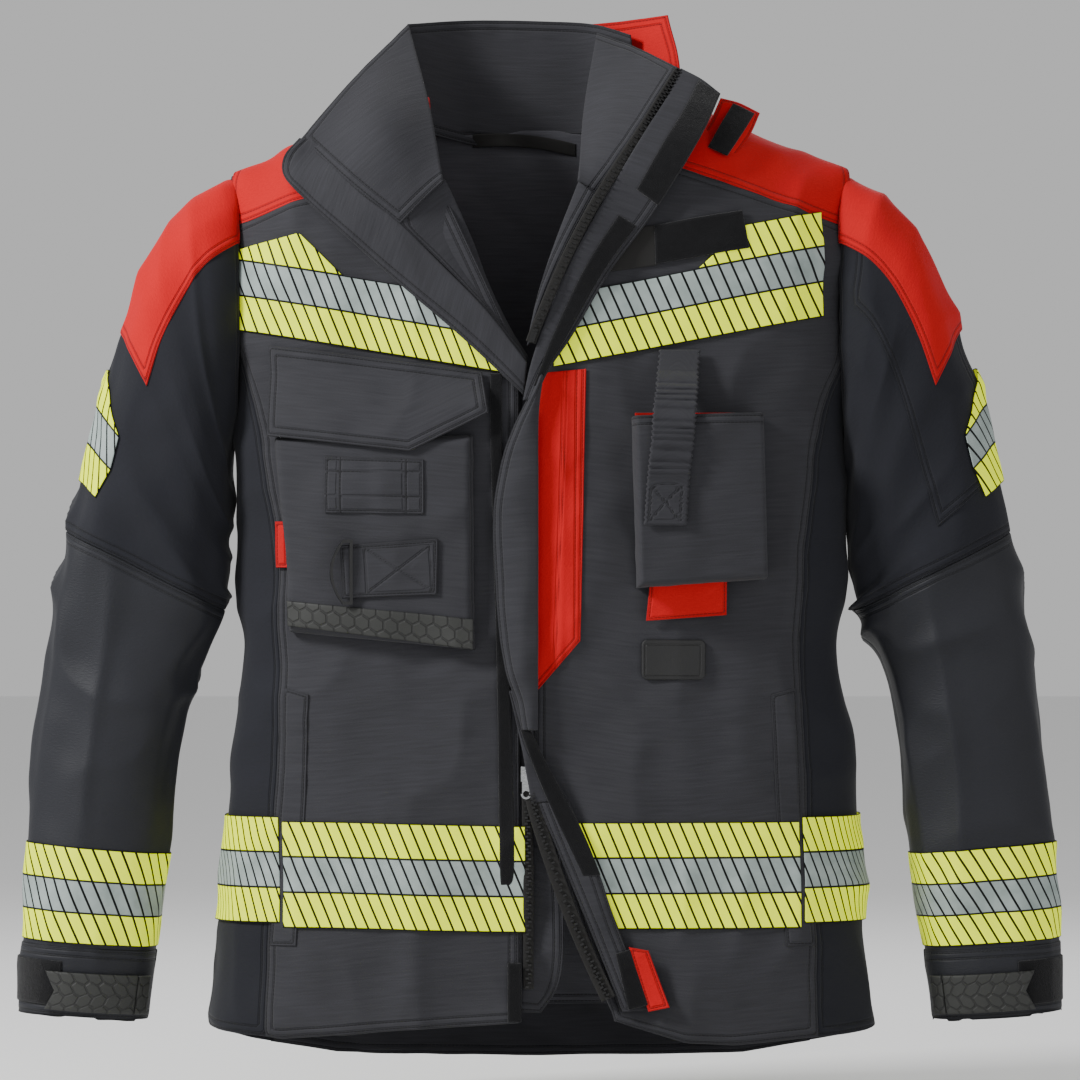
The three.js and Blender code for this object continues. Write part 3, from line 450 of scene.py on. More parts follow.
class Graph:
    """One material's nodes."""

    def __init__(self, name: str) -> None:
        """Start a material with an empty node tree."""
        self.material = bpy.data.materials.new(name)
        self.material.use_nodes = True
        self.tree = self.material.node_tree
        self.tree.nodes.clear()

    def node(self, kind: str, settings: dict, inputs: dict) -> bpy.types.Node:
        """Add one node.

        Args:
            kind: the node's type.
            settings: its properties, which are set first.
            inputs: values or links of its sockets, by name or place.

        Returns:
            The node.
        """
        node = self.tree.nodes.new(kind)
        for key, setting in settings.items():
            setattr(node, key, setting)
        for key, given in inputs.items():
            if isinstance(given, Value):
                given = given.socket
            if isinstance(given, bpy.types.NodeSocket):
                self.tree.links.new(given, node.inputs[key])
            else:
                node.inputs[key].default_value = given
        return node

    def value(self, kind: str, settings: dict, inputs: dict, output: int | str = 0) -> Value:
        """Add one node and wrap its output."""
        return Value(self, self.node(kind, settings, inputs).outputs[output])

    def attribute(self, name: str) -> Value:
        """A number stored on the piece's points."""
        return self.value("ShaderNodeAttribute", {"attribute_name": name}, {}, "Fac")

    def across_up(self) -> tuple[Value, Value]:
        """The piece's own flat coordinates, in metres."""
        place = self.node("ShaderNodeUVMap", {"uv_map": WEAVE_MAP}, {}).outputs[0]
        split = self.node("ShaderNodeSeparateXYZ", {}, {0: place})
        return Value(self, split.outputs[0]), Value(self, split.outputs[1])

    def vector(self, x: Value | float, y: Value | float, z: Value | float = 0.0) -> bpy.types.NodeSocket:
        """Join three numbers."""
        return self.node("ShaderNodeCombineXYZ", {}, {0: x, 1: y, 2: z}).outputs[0]

    def here(self) -> bpy.types.NodeSocket:
        """The place in the object's own coordinates."""
        return self.node("ShaderNodeTexCoord", {}, {}).outputs["Object"]

    def noise(self, vector: bpy.types.NodeSocket, scale: float, detail: float = 2.0) -> Value:
        """Fractal noise about a half."""
        return self.value("ShaderNodeTexNoise", {}, {"Vector": vector, "Scale": scale, "Detail": detail})

    def mix(self, share: Value, first: object, second: object) -> bpy.types.NodeSocket:
        """Blend two colours, given as sockets or as four numbers."""
        node = self.node("ShaderNodeMix", {"data_type": "RGBA"}, {0: share, 6: first, 7: second})
        return node.outputs[2]

    def bump(self, height: Value, distance: float, strength: float = 1.0) -> bpy.types.NodeSocket:
        """A Bump node on a height from 0 to 1."""
        return self.node(
            "ShaderNodeBump", {}, {"Strength": strength, "Distance": distance, "Height": height}
        ).outputs[0]

    def finish(self, **sockets: object) -> bpy.types.Material:
        """Add the shader and return the material; a name's underscores stand for spaces."""
        inputs = {name.replace("_", " "): given for name, given in sockets.items()}
        shader = self.node("ShaderNodeBsdfPrincipled", {}, inputs)
        self.node("ShaderNodeOutputMaterial", {}, {0: shader.outputs[0]})
        return self.material


def tint(red: float, green: float, blue: float, gain: float = 1.0) -> tuple[float, float, float, float]:
    """A colour of 0-255 parts as linear light, scaled by the gain."""
    parts = [((c / 255 + 0.055) / 1.055) ** 2.4 if c > 10 else c / 255 / 12.92 for c in (red, green, blue)]
    return (*(min(part * gain, 1.0) for part in parts), 1.0)


class Weave(Enum):
    """How a cloth's threads show."""

    RIPSTOP = (26.0, 430.0, 0.34)
    STRETCH = (160.0, 420.0, 0.16)
    TWILL = (260.0, 620.0, 0.12)


@dataclass(frozen=True)
class ClothFinish:
    """A woven shell cloth with sewn edges."""

    name: str
    slot: str
    colour: tuple[float, float, float]
    weave: Weave
    roughness: float = 0.88
    sheen: float = 0.05
    thread_gain: float = 0.28

    def build(self) -> bpy.types.Material:
        """Slubs along the weave vary the colour; two rows of stitches follow each sewn edge, and the cloth
        within about a millimetre of a sewn edge is painted darker as shade in the seam.
        """
        graph = Graph(self.name)
        across, up = graph.across_up()
        wide, high, contrast = self.weave.value
        slub = graph.noise(graph.vector(across * wide, up * high), 1.0, 3.0)
        mottle = graph.noise(graph.here(), 7.0, 4.0)
        fine = graph.noise(graph.vector(across * 900.0, up * 900.0), 1.0, 1.0)
        edge, run, mark = graph.attribute("edge"), graph.attribute("run"), graph.attribute("mark")
        row = abs(edge - 0.0025).least(abs(edge - 0.0082)).least(mark)
        dash = (run / 0.0034).part().below(0.80, 0.06)
        thread = row.below(0.00055, 0.0003) * (0.45 + 0.55 * dash)
        # Painted shade: this rim mask darkens the cloth right at each sewn edge, standing in for shade in the
        # seam.
        rim = edge.below(0.0007, 0.0006)
        shade = (slub - 0.5) * contrast * 2.2 + (mottle - 0.5) * 0.35 + (fine - 0.5) * 0.25
        base = graph.mix(
            (shade + 0.5).least(1.0).most(0.0), tint(*self.colour, 0.62), tint(*self.colour, 1.5)
        )
        # Mixes in the stitch colour and the painted edge shade together.
        sewn = graph.mix((thread * 0.85).most(rim * 0.55), base, tint(*self.colour, self.thread_gain))
        height = slub * 0.45 + fine * 0.25 - row.below(0.0011, 0.0009) * 1.6 + thread * 0.7
        return graph.finish(
            Base_Color=sewn,
            Roughness=self.roughness,
            Sheen_Weight=self.sheen,
            Sheen_Roughness=0.5,
            Specular_IOR_Level=0.25,
            Normal=graph.bump(height, 0.0006),
        )


@dataclass(frozen=True)
class TapeFinish:
    """Segmented tape: yellow, silver and yellow rows, cut through by fine slanting slits."""

    name: str
    slot: str
    row: float = 0.0307
    pitch: float = 0.0106
    slant: float = 0.42

    def build(self) -> bpy.types.Material:
        """The row number picks the colour; slits and row edges show the dark backing."""
        graph = Graph(self.name)
        across, up = graph.across_up()
        place = up / self.row
        level = place.part()
        silver = abs(place - 1.5).below(0.5, 0.004)
        border = level.least(1.0 - level).below(0.028, 0.012)
        slit = ((across + up * self.slant) / self.pitch).part()
        cut = slit.least(1.0 - slit).below(0.09, 0.02)
        dark = border.most(cut)
        mottle = graph.noise(graph.here(), 60.0, 3.0)
        yellow = graph.mix(mottle, tint(206, 226, 0), tint(232, 244, 0))
        grey = graph.mix(mottle, tint(118, 130, 127), tint(168, 179, 176))
        colour = graph.mix(dark, graph.mix(silver, yellow, grey), tint(11, 12, 11))
        glow = graph.mix(dark.most(silver), tint(236, 250, 0), (0.0, 0.0, 0.0, 1.0))
        return graph.finish(
            Base_Color=colour,
            Roughness=0.62 - silver * 0.14,
            Emission_Color=glow,
            Emission_Strength=0.42,
            Specular_IOR_Level=0.12,
            Normal=graph.bump((1.0 - dark) + mottle * 0.15, 0.0003),
        )


@dataclass(frozen=True)
class HexFinish:
    """Rubber with a raised net of hexagons."""

    name: str
    slot: str
    size: float = 0.0125
    colour: tuple[float, float, float] = (30, 31, 29)

    def hexagons(self, graph: Graph) -> Value:
        """Distance to the nearest side of a hexagon net, in cells.

        Two rectangular grids of cell centres are laid half a cell apart; the nearer centre's
        offset, measured across the hexagon's three directions, gives the distance.
        """
        across, up = graph.across_up()
        across, up = across / self.size, up / self.size
        tall = math.sqrt(3)
        best = None
        for shift in (0.0, 0.5):
            x = abs((across + shift).part() - 0.5)
            y = abs((up / tall + shift).part() - 0.5) * tall
            reach = x.most(x * 0.5 + y * (tall / 2))
            best = reach if best is None else best.least(reach)
        return 0.5 - best

    def build(self) -> bpy.types.Material:
        """The net's lines and the marked lines are sunk between raised pads, and painted darker as shade in
        the grooves.
        """
        graph = Graph(self.name)
        line = self.hexagons(graph).below(0.075, 0.03)
        grain = graph.noise(graph.here(), 900.0, 2.0)
        mark = graph.attribute("mark").below(0.0006, 0.0004)
        # Painted shade: the sunk lines are darkened in colour, standing in for shade in the grooves.
        dark = line.most(mark)
        colour = graph.mix(dark * 0.8, tint(*self.colour, 1.25), tint(*self.colour, 0.35))
        return graph.finish(
            Base_Color=colour,
            Roughness=0.55 + grain * 0.2,
            Normal=graph.bump((1.0 - dark) + grain * 0.1, 0.0007),
        )


@dataclass(frozen=True)
class PileFinish:
    """Black hook or loop pile."""

    name: str
    slot: str

    def build(self) -> bpy.types.Material:
        """Fine clumps of pile scatter the light."""
        graph = Graph(self.name)
        pile = graph.noise(graph.here(), 1400.0, 3.0)
        clump = graph.noise(graph.here(), 170.0, 3.0)
        rim = graph.attribute("edge").below(0.0022, 0.0006)
        colour = graph.mix((pile * 0.6 + clump * 0.4), tint(2, 2, 3), tint(26, 26, 28))
        edged = graph.mix(rim * 0.6, colour, tint(24, 24, 26))
        return graph.finish(
            Base_Color=edged,
            Roughness=1.0,
            Sheen_Weight=0.15,
            Specular_IOR_Level=0.1,
            Normal=graph.bump(pile + clump * 0.6, 0.0009),
        )


@dataclass(frozen=True)
class PlainFinish:
    """A hard or plain finish with fine grain."""

    name: str
    slot: str
    colour: tuple[float, float, float]
    roughness: float
    metallic: float = 0.0
    grain: float = 500.0

    def build(self) -> bpy.types.Material:
        """Fine grain varies the roughness a little."""
        graph = Graph(self.name)
        grain = graph.noise(graph.here(), self.grain, 2.0)
        return graph.finish(
            Base_Color=graph.mix(grain, tint(*self.colour, 0.8), tint(*self.colour, 1.2)),
            Roughness=self.roughness - 0.06 + grain * 0.12,
            Metallic=self.metallic,
            Normal=graph.bump(grain, 0.0001),
        )


class Finish(Enum):
    """The coat's finishes."""

    SHELL = ClothFinish("charcoal ripstop shell", "shell_ripstop", (44, 44, 48), Weave.RIPSTOP)
    # The shell cloth painted lighter: painted light against the shade inside the back of the coat.
    SHELL_PAINTED_LIGHTER = ClothFinish("charcoal shell painted lighter", "shell_ripstop", (66, 66, 71), Weave.RIPSTOP)
    STRETCH = ClothFinish("navy stretch", "stretch_navy", (24, 25, 31), Weave.STRETCH)
    COATED = ClothFinish("coated forearm twill", "coated_sleeve", (28, 29, 34), Weave.TWILL, 0.6, 0.03)
    RED = ClothFinish("signal red twill", "signal_red", (176, 3, 10), Weave.TWILL, 0.85, 0.03, 0.35)
    TAPE = TapeFinish("segmented reflective tape", "reflective_tape")
    HEX = HexFinish("hexagon grip rubber", "hex_rubber")
    PLATE = HexFinish("plain badge rubber", "hex_rubber", 9.0, (12, 12, 13))
    PILE = PileFinish("hook and loop pile", "hook_loop")
    WEBBING = PlainFinish("woven black tape", "black_tape", (22, 21, 20), 0.92, 0.0, 1200.0)
    ZIP = PlainFinish("moulded zip", "zip_moulding", (9, 9, 10), 0.42)
    METAL = PlainFinish("polished slider", "bare_metal", (190, 192, 194), 0.22, 1.0)
    WIRE = PlainFinish("black painted wire", "black_metal", (18, 18, 19), 0.38)


MATERIALS = {finish: finish.value.build() for finish in Finish}


# ---- Making sheets ---------------------------------------------------------------------------


def spaced(length: float, step: float, rim: float) -> Array:
    """Shares along a side: even steps, with two more lines in each rounded rim."""
    rim = min(rim, length * 0.2)
    even = np.linspace(rim, length - rim, max(int(length / step), 2))
    return np.concatenate([[0.0, rim * 0.35], even, [length - rim * 0.35, length]]) / length


def normals(points: Array) -> Array:
    """Unit normals of a grid of points, from its two directions of travel."""
    return unit(np.cross(np.gradient(points, axis=0), np.gradient(points, axis=1)))


def segment_distance(places: Array, lines: Sequence[Sequence[Sequence[float]]]) -> Array:
    """Distance of flat places to the nearest of several broken lines."""
    best = np.full(places.shape[:-1], 1.0)
    for line in lines:
        points = np.asarray(line, dtype=float)
        for start, end in zip(points[:-1], points[1:]):
            way = end - start
            share = np.clip(((places - start) @ way) / (way @ way), 0, 1)
            best = np.minimum(best, np.linalg.norm(places - start - share[..., None] * way, axis=-1))
    return best


@dataclass
class Sewn:
    """One sheet of cloth, closed round its rounded rim, made from a grid of two shares.

    The fields say how the sheet is made up, and build is given its form.
    """

    name: str
    finish: Finish
    thick: float = 0.0035
    step: float = 0.0035
    sewn: str = "lrbt"
    pucker: float = 0.5
    declare: bool = True
    rows: int = 2
    marks: Sequence[Sequence[Sequence[float]]] = field(default_factory=tuple)

    def build(
        self,
        shape: Shape,
        facing: Sequence[float] | Callable[[Array], Array],
        weave: Callable[[Array, Array], Array] | None = None,
    ) -> bpy.types.Object:
        """Make the piece.

        The face is the shape lifted by small puckers beside its sewn edges. The two skins lie
        half a thickness each side of the middle and meet round the rim on a half circle.

        Args:
            shape: places of the outer face at shares across and up.
            facing: a direction, or directions for places, that the outer face looks to.
            weave: flat coordinates at the shares; the lengths along the grid if not given.

        Returns:
            The object.
        """
        rough_u, rough_v = np.meshgrid(np.linspace(0, 1, 17), np.linspace(0, 1, 17), indexing="ij")
        rough = shape(rough_u, rough_v)
        wide = np.linalg.norm(np.diff(rough, axis=0), axis=-1).sum(axis=0).max()
        long = np.linalg.norm(np.diff(rough, axis=1), axis=-1).sum(axis=1).max()
        rim = max(self.thick * 0.6, 0.0012)
        u, v = np.meshgrid(spaced(wide, self.step, rim), spaced(long, self.step, rim), indexing="ij")
        face = shape(u, v)
        out = normals(face)
        look = facing(face) if callable(facing) else np.asarray(facing, dtype=float)
        sign = 1.0 if (out * look).sum(axis=-1).mean() > 0 else -1.0
        out = out * sign
        side = np.concatenate(
            [np.zeros((1, u.shape[1])), np.linalg.norm(np.diff(face, axis=0), axis=-1).cumsum(axis=0)]
        )
        rise = np.concatenate(
            [np.zeros((u.shape[0], 1)), np.linalg.norm(np.diff(face, axis=1), axis=-1).cumsum(axis=1)], axis=1
        )
        borders = {"l": side, "r": side[-1:] - side, "b": rise, "t": rise[:, -1:] - rise}
        runs = {"l": rise, "r": rise, "b": side, "t": side}
        rim_far = np.minimum.reduce(list(borders.values()))
        edge, run = np.full(u.shape, 1.0), np.zeros(u.shape)
        for key in self.sewn:
            nearer = borders[key] < edge
            edge = np.where(nearer, borders[key], edge)
            run = np.where(nearer, runs[key], run)
        if self.rows == 1:
            edge = np.minimum(edge, 0.0055)
        ripple = lattice_noise(np.stack([run / 0.013, edge / 0.05, 0 * run + len(self.name)], axis=-1), 21)
        face = face + out * (MM * self.pucker * bell(edge - 0.006, 0.012) * ripple)[..., None]
        bulge = np.sqrt(1 - (1 - np.clip(rim_far / rim, 0, 1)) ** 2)
        half = self.thick / 2
        top = face + out * (half * (bulge - 1))[..., None]
        under = face - out * (half * (bulge + 1))[..., None]
        flat = np.stack([side, rise], axis=-1) if weave is None else weave(u, v)
        mark = segment_distance(flat, self.marks)
        piece = self.mesh(top, under, sign, flat, {"edge": edge, "run": run, "mark": mark})
        if self.declare:
            cells = np.linalg.norm(
                np.cross(face[1:, :-1] - face[:-1, :-1], face[:-1, 1:] - face[:-1, :-1]), axis=-1
            )
            area = float(cells.sum())
            size = (float(side[-1].max()), float(rise[:, -1].max()))
            area = min(max(area, 0.301 * size[0] * size[1]), size[0] * size[1])
        return piece

    def mesh(
        self, top: Array, under: Array, sign: float, flat: Array, numbers: dict[str, Array]
    ) -> bpy.types.Object:
        """Join the two skins round the rim and store the piece's numbers on its points."""
        count_u, count_v = top.shape[:2]
        ids = np.arange(count_u * count_v).reshape(count_u, count_v)
        low = ids.copy()
        low[1:-1, 1:-1] = ids.size + np.arange((count_u - 2) * (count_v - 2)).reshape(
            count_u - 2, count_v - 2
        )
        points = np.concatenate([top.reshape(-1, 3), under[1:-1, 1:-1].reshape(-1, 3)])

        def quads(grid: Array, flip: bool) -> Array:
            """The grid's four-sided faces, turned over when asked."""
            corners = np.stack([grid[:-1, :-1], grid[1:, :-1], grid[1:, 1:], grid[:-1, 1:]], axis=-1)
            return corners.reshape(-1, 4)[:, ::-1] if flip else corners.reshape(-1, 4)

        faces = np.concatenate([quads(ids, sign < 0), quads(low, sign > 0)])
        data = bpy.data.meshes.new(self.name)
        data.vertices.add(len(points))
        data.vertices.foreach_set("co", points.astype(np.float32).ravel())
        data.loops.add(faces.size)
        data.loops.foreach_set("vertex_index", faces.astype(np.int32).ravel())
        data.polygons.add(len(faces))
        data.polygons.foreach_set("loop_start", np.arange(0, faces.size, 4, dtype=np.int32))
        data.polygons.foreach_set("use_smooth", np.ones(len(faces), dtype=bool))
        data.update(calc_edges=True)
        spread = np.concatenate([flat.reshape(-1, 2), flat[1:-1, 1:-1].reshape(-1, 2)])
        layer = data.uv_layers.new(name=WEAVE_MAP)
        layer.data.foreach_set("uv", spread[faces.ravel()].astype(np.float32).ravel())
        for name, grid in numbers.items():
            stored = data.attributes.new(name, "FLOAT", "POINT")
            both = np.concatenate([grid.ravel(), grid[1:-1, 1:-1].ravel()])
            stored.data.foreach_set("value", both.astype(np.float32))
        data.validate()
        data.materials.append(MATERIALS[self.finish])
        piece = bpy.data.objects.new(self.name, data)
        bpy.context.scene.collection.objects.link(piece)
        LOG.info("%s: %d faces", self.name, len(faces))
        return piece


FORWARD = (0.0, -1.0, 0.0)
BACKWARD = (0.0, 1.0, 0.0)


def away_from_core(points: Array) -> Array:
    """Directions from the body's upright middle plane line."""
    core = np.stack(
        [points[..., 0] * 0.55, np.full(points.shape[:-1], BODY.middle_y), points[..., 2]], axis=-1
    )
    return points - core


def settle(piece: bpy.types.Object, body: str, *nodes: str) -> bpy.types.Object:
    """Let a piece ride on a body and stand for CAD nodes."""
    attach(piece, body)
    if nodes:
        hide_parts(*nodes)
    return piece


def on_front(
    corners: dict[str, Sequence], off: float | Callable[[Array, Array], Array] = 0.0, relief: float = 1.0
) -> Shape:
    """A sheet on the worn front inside four broken lines.

    Args:
        corners: bottom, top, left and right lines, as places across and up in millimetres.
        off: how far off it lies, or a function of the shares that gives that.
        relief: share of the cloth's relief that it follows.

    Returns:
        The shape.
    """
    plan = four_sided(corners["bottom"], corners["top"], corners["left"], corners["right"])

    def place(u: Array, v: Array) -> Array:
        spot = plan(u, v) * MM
        lift = off(u, v) if callable(off) else off
        return BODY.front(spot[..., 0], spot[..., 1], lift, relief)

    return place


def box_lines(left: float, right: float, top: float, bottom: float) -> dict[str, Sequence]:
    """The four lines of an upright rectangle in millimetres."""
    return quad_lines((left, top), (right, top), (right, bottom), (left, bottom))


def quad_lines(
    top_left: Sequence[float],
    top_right: Sequence[float],
    low_right: Sequence[float],
    low_left: Sequence[float],
) -> dict[str, Sequence]:
    """The four lines of any quadrilateral in millimetres."""
    return {
        "bottom": [low_left, low_right],
        "top": [top_left, top_right],
        "left": [low_left, top_left],
        "right": [low_right, top_right],
    }


def ribbon(
    left: Sequence[Sequence[float]], right: Sequence[Sequence[float]], bulge: float = 0.0, relief: float = 1.0
) -> Shape:
    """A strip on the worn front between two smooth edge lines.

    Args:
        left: places (across, up, off) in millimetres from the bottom to the top.
        right: the same for the other edge.
        bulge: how far the strip's middle stands off more than its edges.
        relief: share of the cloth's relief that it follows.

    Returns:
        The shape.
    """
    first, second = np.asarray(left, dtype=float) * MM, np.asarray(right, dtype=float) * MM

    def place(u: Array, v: Array) -> Array:
        start = catmull(first, v[0])[None]
        end = catmull(second, v[0])[None]
        spot = start + (end - start) * u[..., None]
        lift = spot[..., 2] + bulge * np.sin(math.pi * u)
        return BODY.front(spot[..., 0], spot[..., 1], lift, relief)

    return place


def net(rows: Sequence[Sequence[Sequence[float]]], relief: float = 0.0) -> Shape:
    """A sheet through a net of places: curves along each row, then curves through those.

    Args:
        rows: rows of places in metres.
        relief: share of the front's relief added forwards.

    Returns:
        The shape, whose first share runs along a row.
    """
    knots = np.asarray(rows, dtype=float)

    def place(u: Array, v: Array) -> Array:
        along = catmull(np.moveaxis(knots, 1, 0), u[:, 0])
        face = catmull(np.moveaxis(along, 1, 0), v[0])
        face = np.moveaxis(face, 1, 0)
        if relief:
            base = BODY.place(BODY.turn_at(face[..., 0], face[..., 2]), face[..., 2])
            face = face - np.array([0, 1, 0]) * (relief * BODY.relief(base))[..., None]
        return face

    return place


def millimetres(*rows: Sequence[Sequence[float]]) -> list[Array]:
    """Net rows given in millimetres, as metres; a place of length 4 is (across, up, off, 0) off the front."""
    return [
        np.array([BODY.knot(*place[:3]) if len(place) == 4 else np.array(place) * MM for place in row])
        for row in rows
    ]


# ---- Torso -----------------------------------------------------------------------------------


@dataclass
class Torso:
    """Front, side and back panels, the lining and the red yokes."""

    seam: tuple = ((241, -787), (240, -705), (226, -489), (229, -363), (241, -272), (265, -190), (267.5, -80))
    wall: float = 0.0035
    neck_x: float = 97
    yoke_slope: float = 0.33
    overlap: float = 0.013

    def yoke_seam(self, x: float) -> float:
        """Height of the yoke's lower seam, in millimetres."""
        return -34 - self.yoke_slope * (abs(x) - 123)

    def turned(self, lines: dict[str, Sequence], back: bool = False) -> Shape:
        """A panel inside four lines of places (across, up), in millimetres, on the front or back.

        The lines are changed to turns round the body first, so the panel lies even round its side.
        """

        def rounded(line: Sequence[Sequence[float]]) -> Array:
            places = walk(line, np.linspace(0, 1, 41)) * MM
            turn = BODY.turn_at(places[:, 0], places[:, 1])
            return np.stack([2 - turn if back else turn, places[:, 1]], axis=-1)

        plan = four_sided(*(rounded(lines[key]) for key in ("bottom", "top", "left", "right")))

        def place(u: Array, v: Array) -> Array:
            spot = plan(u, v)
            return BODY.on(spot[..., 0], spot[..., 1])

        return place

    def mirrored(self, sense: int) -> list[tuple[float, float]]:
        """The side seam line from the hem up, on one side."""
        return [(sense * x, z) for x, z in self.seam]

    def top_line(self, start: float, end: float) -> list[tuple[float, float]]:
        """The yoke seam between two places across."""
        return [(x, self.yoke_seam(x) - 0.3) for x in np.linspace(start, end, 7)]

    def fronts(self) -> None:
        """The two front panels."""
        left = {
            "bottom": [(-241, -787), (-227, -789), (-120, -780), (-18, -773)],
            "top": self.top_line(-262, -self.neck_x),
            "left": self.mirrored(-1),
            "right": [(-18, -773), (-18, -195), (-48, -130), (-self.neck_x, -25)],
        }
        piece = Sewn(
            "front_left_cloth", Finish.SHELL, self.wall, sewn="lrbt"
        ).build(self.turned(left), FORWARD)
        settle(piece, "coat_body", "front_panel_left")
        right = {
            "bottom": [(64, -772), (127, -791), (167, -793), (224, -788), (241, -787)],
            "top": self.top_line(self.neck_x, 262),
            "left": [(64, -772), (-5, -560), (-5, -195), (52, -56), (self.neck_x, -25)],
            "right": self.mirrored(1),
        }
        piece = Sewn(
            "front_right_cloth", Finish.SHELL, self.wall, sewn="lrbt"
        ).build(self.turned(right), FORWARD)
        settle(piece, "coat_body", "front_panel_right")

    def sides(self) -> None:
        """The stretch side panels, from the front seam under the arm to the back seam."""
        for sense, side in ((-1, "left"), (1, "right")):
            seam = walk(self.seam[:-1], np.linspace(0, 1, 41)) * MM
            turn = BODY.turn_at(seam[:, 0], seam[:, 1])
            front = np.stack([turn - self.overlap, seam[:, 1]], axis=-1)
            rear = np.stack(
                [2 - turn + self.overlap, seam[:, 1] + smooth(-0.7, -0.79, seam[:, 1]) * -0.014], axis=-1
            )
            low = [front[0], (1.0, -0.780), rear[0]]
            high = [front[-1], (0.93, -0.225), (1.0, -0.250), (1.07, -0.225), rear[-1]]
            plan = four_sided(low, high, front, rear)

            def place(u: Array, v: Array, plan: Shape = plan, sense: int = sense) -> Array:
                spot = plan(u, v)
                flip = spot[..., 0] if sense > 0 else 4 - spot[..., 0]
                return BODY.on(flip, spot[..., 1], -0.0008)

            piece = Sewn(
                f"side_{side}_cloth", Finish.STRETCH, self.wall, sewn="lrb"
            ).build(place, away_from_core)
            settle(piece, "coat_body", f"side_panel_{side}")

    def back(self) -> None:
        """The one-piece back and the lining that shows at the neck and below the fronts."""
        lines = {
            "bottom": [
                (241, -801), (180, -813), (120, -815), (0, -817), (-120, -815), (-180, -813), (-241, -801)
            ],
            "top": [
                *self.top_line(262, 99),
                (95, 14), (50, 11), (0, 7), (-50, 11), (-95, 14),
                *self.top_line(-99, -262),
            ],
            "left": [(241, -801), *self.mirrored(1)[1:]],
            "right": [(-241, -801), *self.mirrored(-1)[1:]],
        }
        piece = Sewn("back_cloth", Finish.SHELL, self.wall, 0.0042).build(self.turned(lines, True), BACKWARD)
        settle(piece, "coat_body", "back_panel")

        def lining(u: Array, v: Array) -> Array:
            x = (u - 0.5) * 0.41
            top = np.where(np.abs(x) < 0.097, 0.009, -0.040 - self.yoke_slope * (np.abs(x) - 0.123))
            z = -0.770 + (top + 0.770) * v
            base = BODY.place(2 - BODY.turn_at(x, z), z)
            return base - BODY.out(2 - BODY.turn_at(x, z), z) * (0.0066 - 0.6 * BODY.relief(base))[..., None]

        # The lining uses the shell cloth painted lighter, as painted light against the shade inside the back.
        piece = Sewn("back_lining_cloth", Finish.SHELL_PAINTED_LIGHTER, 0.001, 0.0042, sewn="lrb").build(lining, FORWARD)
        settle(piece, "coat_body", "back_lining")

    def yokes(self) -> None:
        """The red saddles over the shoulders, from the front seam over the ridge to the back."""
        for sense, side in ((-1, "left"), (1, "right")):

            def saddle(u: Array, v: Array, sense: int = sense) -> Array:
                x = self.neck_x * MM + (0.2685 - self.neck_x * MM) * u
                seam = (-34 - self.yoke_slope * (x / MM - 123)) * MM
                limit = np.arccos(np.clip(1 - (BODY.ridge(x) - seam) / BODY.ridge_round(x), -0.9, 0.99))
                tilt = (2 * v - 1) * limit
                z = BODY.ridge(x) - BODY.ridge_round(x) * (1 - np.cos(tilt))
                depth = np.where(tilt < 0, BODY.eased(BODY.front_depth, z), BODY.eased(BODY.back_depth, z))
                round_off = (1 - (x / BODY.half_width(z)) ** BODY.power) ** (1 / BODY.power)
                base = np.stack([sense * x, BODY.middle_y + depth * round_off * np.sin(tilt), z], axis=-1)
                lift = 0.0008 + BODY.relief(base) * smooth(0.095, 0.15, x)
                out = normals(base)
                out = out * np.sign(
                    (out * (base - np.array([sense * 0.2, BODY.middle_y, -0.12]))).sum(-1)
                )[..., None]
                return base + out * lift[..., None]

            piece = Sewn(f"yoke_{side}_cloth", Finish.RED, self.wall, 0.0033, sewn="rbt").build(
                saddle, lambda places: places - np.array([0, BODY.middle_y, -0.12])
            )
            settle(piece, "coat_body", f"yoke_{side}")

    def build(self) -> None:
        """Make every panel."""
        self.fronts()
        self.sides()
        self.back()
        self.yokes()


# ---- Sleeves ---------------------------------------------------------------------------------


